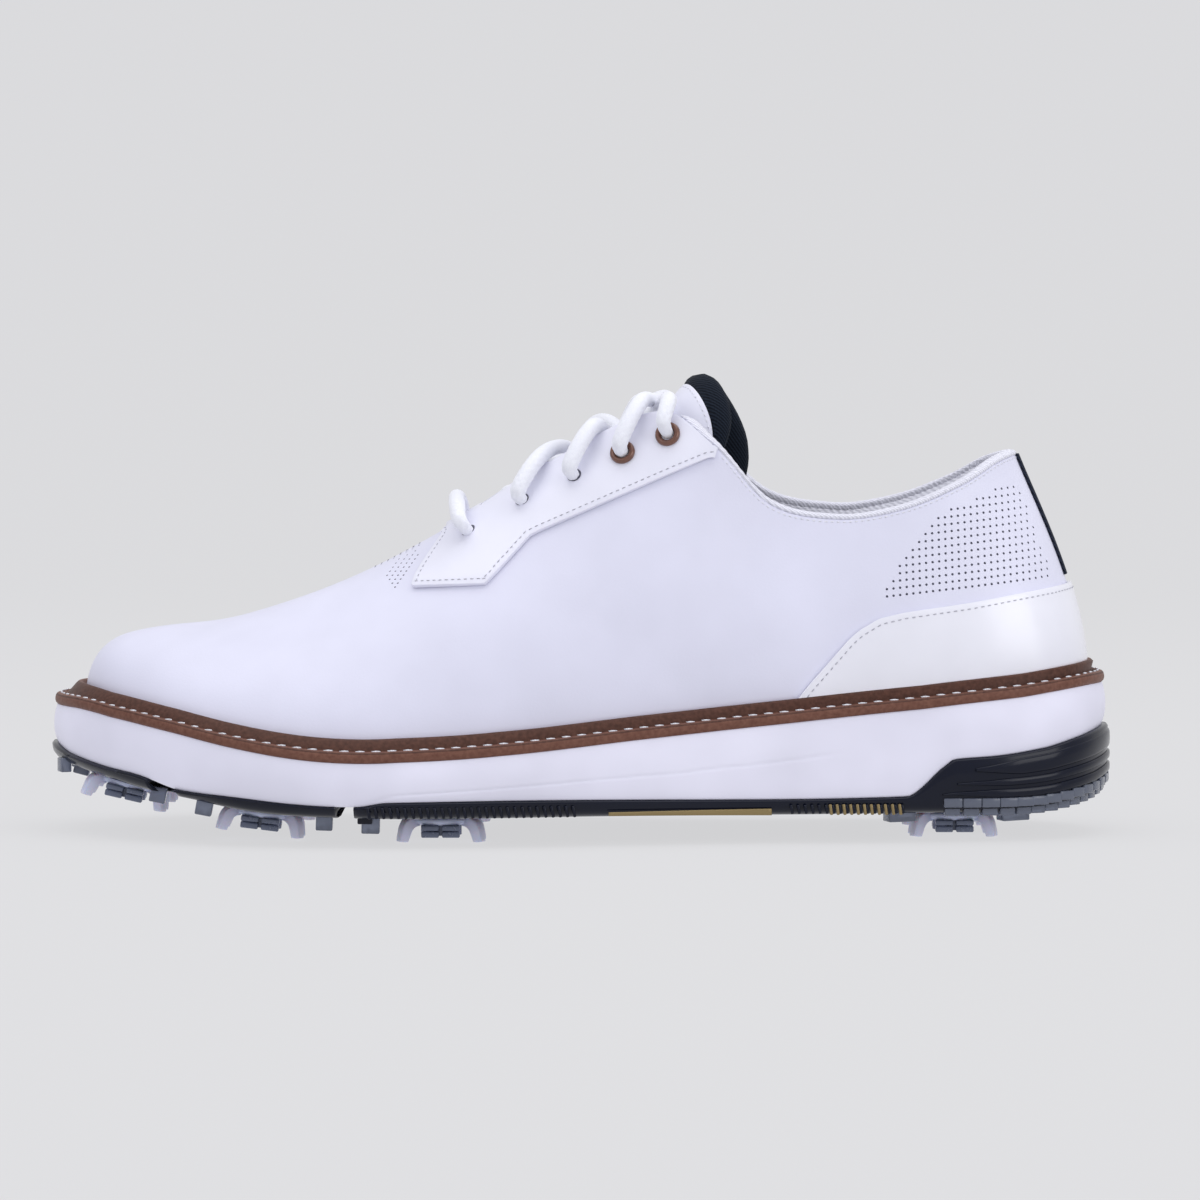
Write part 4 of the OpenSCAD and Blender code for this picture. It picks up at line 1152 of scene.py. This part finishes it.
lug_bm = bmesh.new()
for u in (0.47, 0.53):
    side_lug(lug_bm, u, 19.2, (4.0, 4.2, 3.0), 0.0, -0.6)
for x, y in [(-141, -3), (-143, 12), (-141, 28), (-117, -31), (-116, 6), (-117, 42)]:
    under_lug(lug_bm, x, y, (4.5, 4.0), 0.0, 3.4)
for x in (-103.5, -70):
    for y in (-44, -20, -2, 14, 30, 47):
        narrow = 0.88 if x < -90 else 0.96
        under_lug(lug_bm, x, y * narrow, (4.6, 4.2), 0.0, 4.0 if abs(y) > 40 else 2.4)
for k in range(10):
    for y in (-6, 10):
        under_lug(lug_bm, -98 + k * 2.5, y, (1.1, 7), 0.0, 1.2)
outsole_piece("front_lugs", lug_bm, None, clear_tpu)

main_bm = outsole_bm(0.0008, u_at(-61), 150)
rib_pitch = 1.95


def cup_band(bm, low_share, high_share, front_x):
    """A raised, tapering band round the heel cup between two shares of its height, back from front_x."""
    reach = u_at(front_x)

    def place(s, t):
        u = reach * (2 * s - 1)
        x = row_at(u)[0]
        low = z_low(x) + 4.6
        rise = z_edge(x) - low
        taper = min(s / 0.10, (1 - s) / 0.10, 1)
        turn = 2 * math.pi * t
        half = rise * (high_share - low_share) / 2 * (0.25 + 0.75 * taper)
        heart = low + rise * (low_share + high_share) / 2
        up = math.copysign(abs(math.sin(turn)) ** 0.5, math.sin(turn))
        off = ledge_at(u) + toe_heel_flare(u) + 0.36 + 0.7 * math.cos(turn)
        return plan(u, off, heart + half * up)
    made = lay(bm, 110, 14, place)
    bmesh.ops.remove_doubles(bm, verts=made, dist=0.002 * MM)


for low_share, high_share, front_x in [(0.02, 0.22, 101), (0.29, 0.47, 105), (0.54, 0.92, 110)]:
    cup_band(main_bm, low_share, high_share, front_x)
for inner in (False, True):
    for k in range(17):
        u = u_at(59 + k * rib_pitch)
        side_lug(main_bm, 1 - u if inner else u, 9.4, (2.6, 0.85, 1.2), 0.15, 0.75)
    for k in range(29):
        u = u_at(-57 + k * rib_pitch)
        side_lug(main_bm, 1 - u if inner else u, 9.7, (3.2, 0.9, 0.9), 0.2, 0.7)
for y in (-46, -22, -4, 14, 32, 48):
    under_lug(main_bm, -58.5, y, (4.2, 4.6), 0.0, 1.6)
for k in range(10):
    for y in (-17, 3, 23):
        under_lug(main_bm, 66 + k * 3.0, y * 0.9, (1.2, 9), 0.25, 1.0)
outsole_piece("outsole_main", main_bm, "main_outsole", smoky_tpu)

lug_bm = bmesh.new()
for k in range(28):
    u = (k - 13.5) * 0.0079
    x = row_at(u)[0]
    side_lug(lug_bm, u, z_low(x) + 3.3, (2.6, 5.2, 1.6), 0.0, -0.1)
    side_lug(lug_bm, u, z_low(x) + 1.0, (2.8, 4.4, 3.4), 0.0, -2.4)
for y in (-46, 48):
    under_lug(lug_bm, -57, y, (5, 4.4), 0.0, 4.2)
for x, y in [(90, -30), (90, 34), (122, -26), (122, 31), (88, 3), (136, 2)]:
    under_lug(lug_bm, x, y, (8, 5.5), 0.3, 2.4)
outsole_piece("heel_lugs", lug_bm, None, clear_tpu)

# --- Shank ----------------------------------------------------------------------------------------
# A springy gold fibre plate let into the waist of the main outsole. It shows along both edges, as a
# thin bead in front and as short ribs behind.
gold = moulded("gold_plate", (0.27, 0.20, 0.09), 0.35, speck=500, depth=0.02, Metallic=0.5)


def refinish(name, material):
    """Gives a piece of the frame, whose shape stays, its own finish."""
    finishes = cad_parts[name].data.materials
    finishes.clear()
    finishes.append(material)


refinish("shank", gold)


def shank_edge_place(inner):
    """The plate's edge on one side: a bead that grows taller toward the back."""
    def place(s, t):
        u = u_at(7.4 + 46 * s)
        v = 1 - u if inner else u
        turn = 2 * math.pi * t
        tall = 0.95 * (0.55 + 0.45 * s)
        return plan(v, ledge_at(v) + 0.32 + 0.25 * math.cos(turn), 8.75 + tall * math.sin(turn))
    return place


edge_bm = bmesh.new()
for inner in (False, True):
    lay(edge_bm, 60, 12, shank_edge_place(inner))
close_ends(edge_bm)
for inner in (False, True):
    for k in range(11):
        u = u_at(70 + k * rib_pitch)
        side_lug(edge_bm, 1 - u if inner else u, 9.3, (3.0, 0.9, 1.3), 0.15, 0.7)
shank_edges = add_object("shank_edges", edge_bm, [gold])
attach(shank_edges, "shoe")

# --- Spikes ---------------------------------------------------------------------------------------
# Eight soft spikes: a smoky hub with a threaded stud, two key holes and short studs on two sides,
# and a ring moulded round it with lavender claws front and back. Each locks with a sixth of a turn.
spike_h = 7.4
# x, y and z of each spike's seat, and how many degrees it leans with the toe spring
spikes = [(-127, -9, 16.2, 13), (-127, 23, 16.2, 13), (-88, -26, 9.2, 7), (-88, 31, 9.2, 7),
          (-38, -31, spike_h, 0), (-38, 31, spike_h, 0), (106, -14, spike_h, 0), (106, 21, spike_h, 0)]
lavender = moulded("lavender_claw", (0.70, 0.71, 0.92), 0.35, speck=900, depth=0.03, Transmission_Weight=0.06,
                   IOR=1.45, Subsurface_Weight=0.15)
smoky_hub = moulded("smoky_hub", (0.19, 0.22, 0.32), 0.25, speck=600, depth=0.02,
                    Transmission_Weight=0.35, IOR=1.48)
# Path of a claw from the ring outward and down: distance from the axis, height, width, thickness
claw_path = [(7.4, -1.7, 4.2, 2.6), (9.0, -2.0, 4.3, 3.0), (10.2, -2.9, 4.2, 3.3), (10.9, -4.3, 4.0, 3.2),
             (11.3, -5.8, 3.7, 2.9), (11.6, -7.0, 3.4, 2.7), (11.65, -7.4, 3.2, 2.5)]
ring_section = [(5.8, -0.55), (7.6, -0.55), (8.3, -0.9), (8.5, -1.6), (8.2, -2.3), (7.4, -2.6), (5.8, -2.6)]


def claw_place(angle):
    """A claw that leaves the ring at an angle, cut off level with the ground."""
    def place(s, t):
        r, z, wide, thick = along(claw_path, t * (len(claw_path) - 1))
        turn = 2 * math.pi * s
        steep = math.radians(20 + 62 * t)
        flat = math.copysign(abs(math.sin(turn)) ** 0.3, math.sin(turn)) * thick / 2
        side = math.copysign(abs(math.cos(turn)) ** 0.3, math.cos(turn)) * wide / 2
        p = Vector((r + flat * math.sin(steep), side, z + flat * math.cos(steep)))
        p.z = max(p.z, -spike_h)
        return Matrix.Rotation(angle, 3, "Z") @ p
    return place


def ring_of(bm, section):
    """Lathes a closed section of (radius, height) points, in millimetres."""
    profile = [bm.verts.new(Vector((r, 0, z)) * MM) for r, z in section]
    edges = [bm.edges.new((a, b)) for a, b in zip(profile, profile[1:] + profile[:1])]
    bmesh.ops.spin(bm, geom=profile + edges, cent=(0, 0, 0), axis=(0, 0, 1), dvec=(0, 0, 0),
                   angle=2 * math.pi, steps=64, use_merge=True, use_normal_flip=False, use_duplicate=False)


for index, (x, y, z, lean) in enumerate(spikes):
    site = Matrix.Translation(Vector((x, y, z)) * MM) @ Matrix.Rotation(math.radians(lean), 4, "Y")
    claws_bm = bmesh.new()
    ring_of(claws_bm, ring_section)
    bmesh.ops.remove_doubles(claws_bm, verts=claws_bm.verts, dist=0.002 * MM)
    for k in (0, 3, 4, 7):
        lay(claws_bm, 20, 14, claw_place((k + 0.5) * math.pi / 4))
    close_ends(claws_bm)
    claws_bm.transform(site)
    claws = add_object(f"spike_claws_{index + 1}", claws_bm, [lavender])
    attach(claws, f"spike_{index + 1}")
    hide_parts(f"spike_legs_{index + 1}")
    studs_bm = bmesh.new()
    for side in (-1, 1):
        for off in (-2.9, 2.9):
            for z_mid, tall, deep in ((-3.2, 1.5, 3.4), (-5.1, 1.7, 2.9)):
                spot = Vector((off, side * (6.3 + deep / 2 - 1), z_mid)) * MM
                block(studs_bm, Matrix.Translation(spot), (4.9, deep, tall), 0.35)
    studs_bm.transform(site)
    studs = add_object(f"spike_studs_{index + 1}", studs_bm, [smoky_hub])
    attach(studs, f"spike_{index + 1}")
    refinish(f"spike_hub_{index + 1}", smoky_hub)

# --- Hidden parts ---------------------------------------------------------------------------------
# Stiffeners, board, backing and sockets are closed inside the shoe, and the lace tips are tucked in
# behind the eyestay. Their shapes stay as the frame has them, and each gets its own finish.
hidden_finish = {
    "lasting_board": moulded("fibre_board", (0.55, 0.46, 0.32), 0.9, speck=250, depth=0.2),
    "toe_puff": moulded("toe_stiffener", (0.62, 0.55, 0.42), 0.7),
    "heel_counter": moulded("heel_stiffener", (0.62, 0.55, 0.42), 0.7),
    "quarter_backing": moulded("foam_backing", (0.55, 0.55, 0.56), 0.95, speck=900, depth=0.1),
    "spike_sockets": moulded("socket_grey", (0.22, 0.23, 0.28), 0.5),
    "lace_tips": moulded("clear_tip", (0.75, 0.75, 0.80), 0.2, speck=300, Transmission_Weight=0.4, IOR=1.45)}
for name, finish in hidden_finish.items():
    refinish(name, finish)
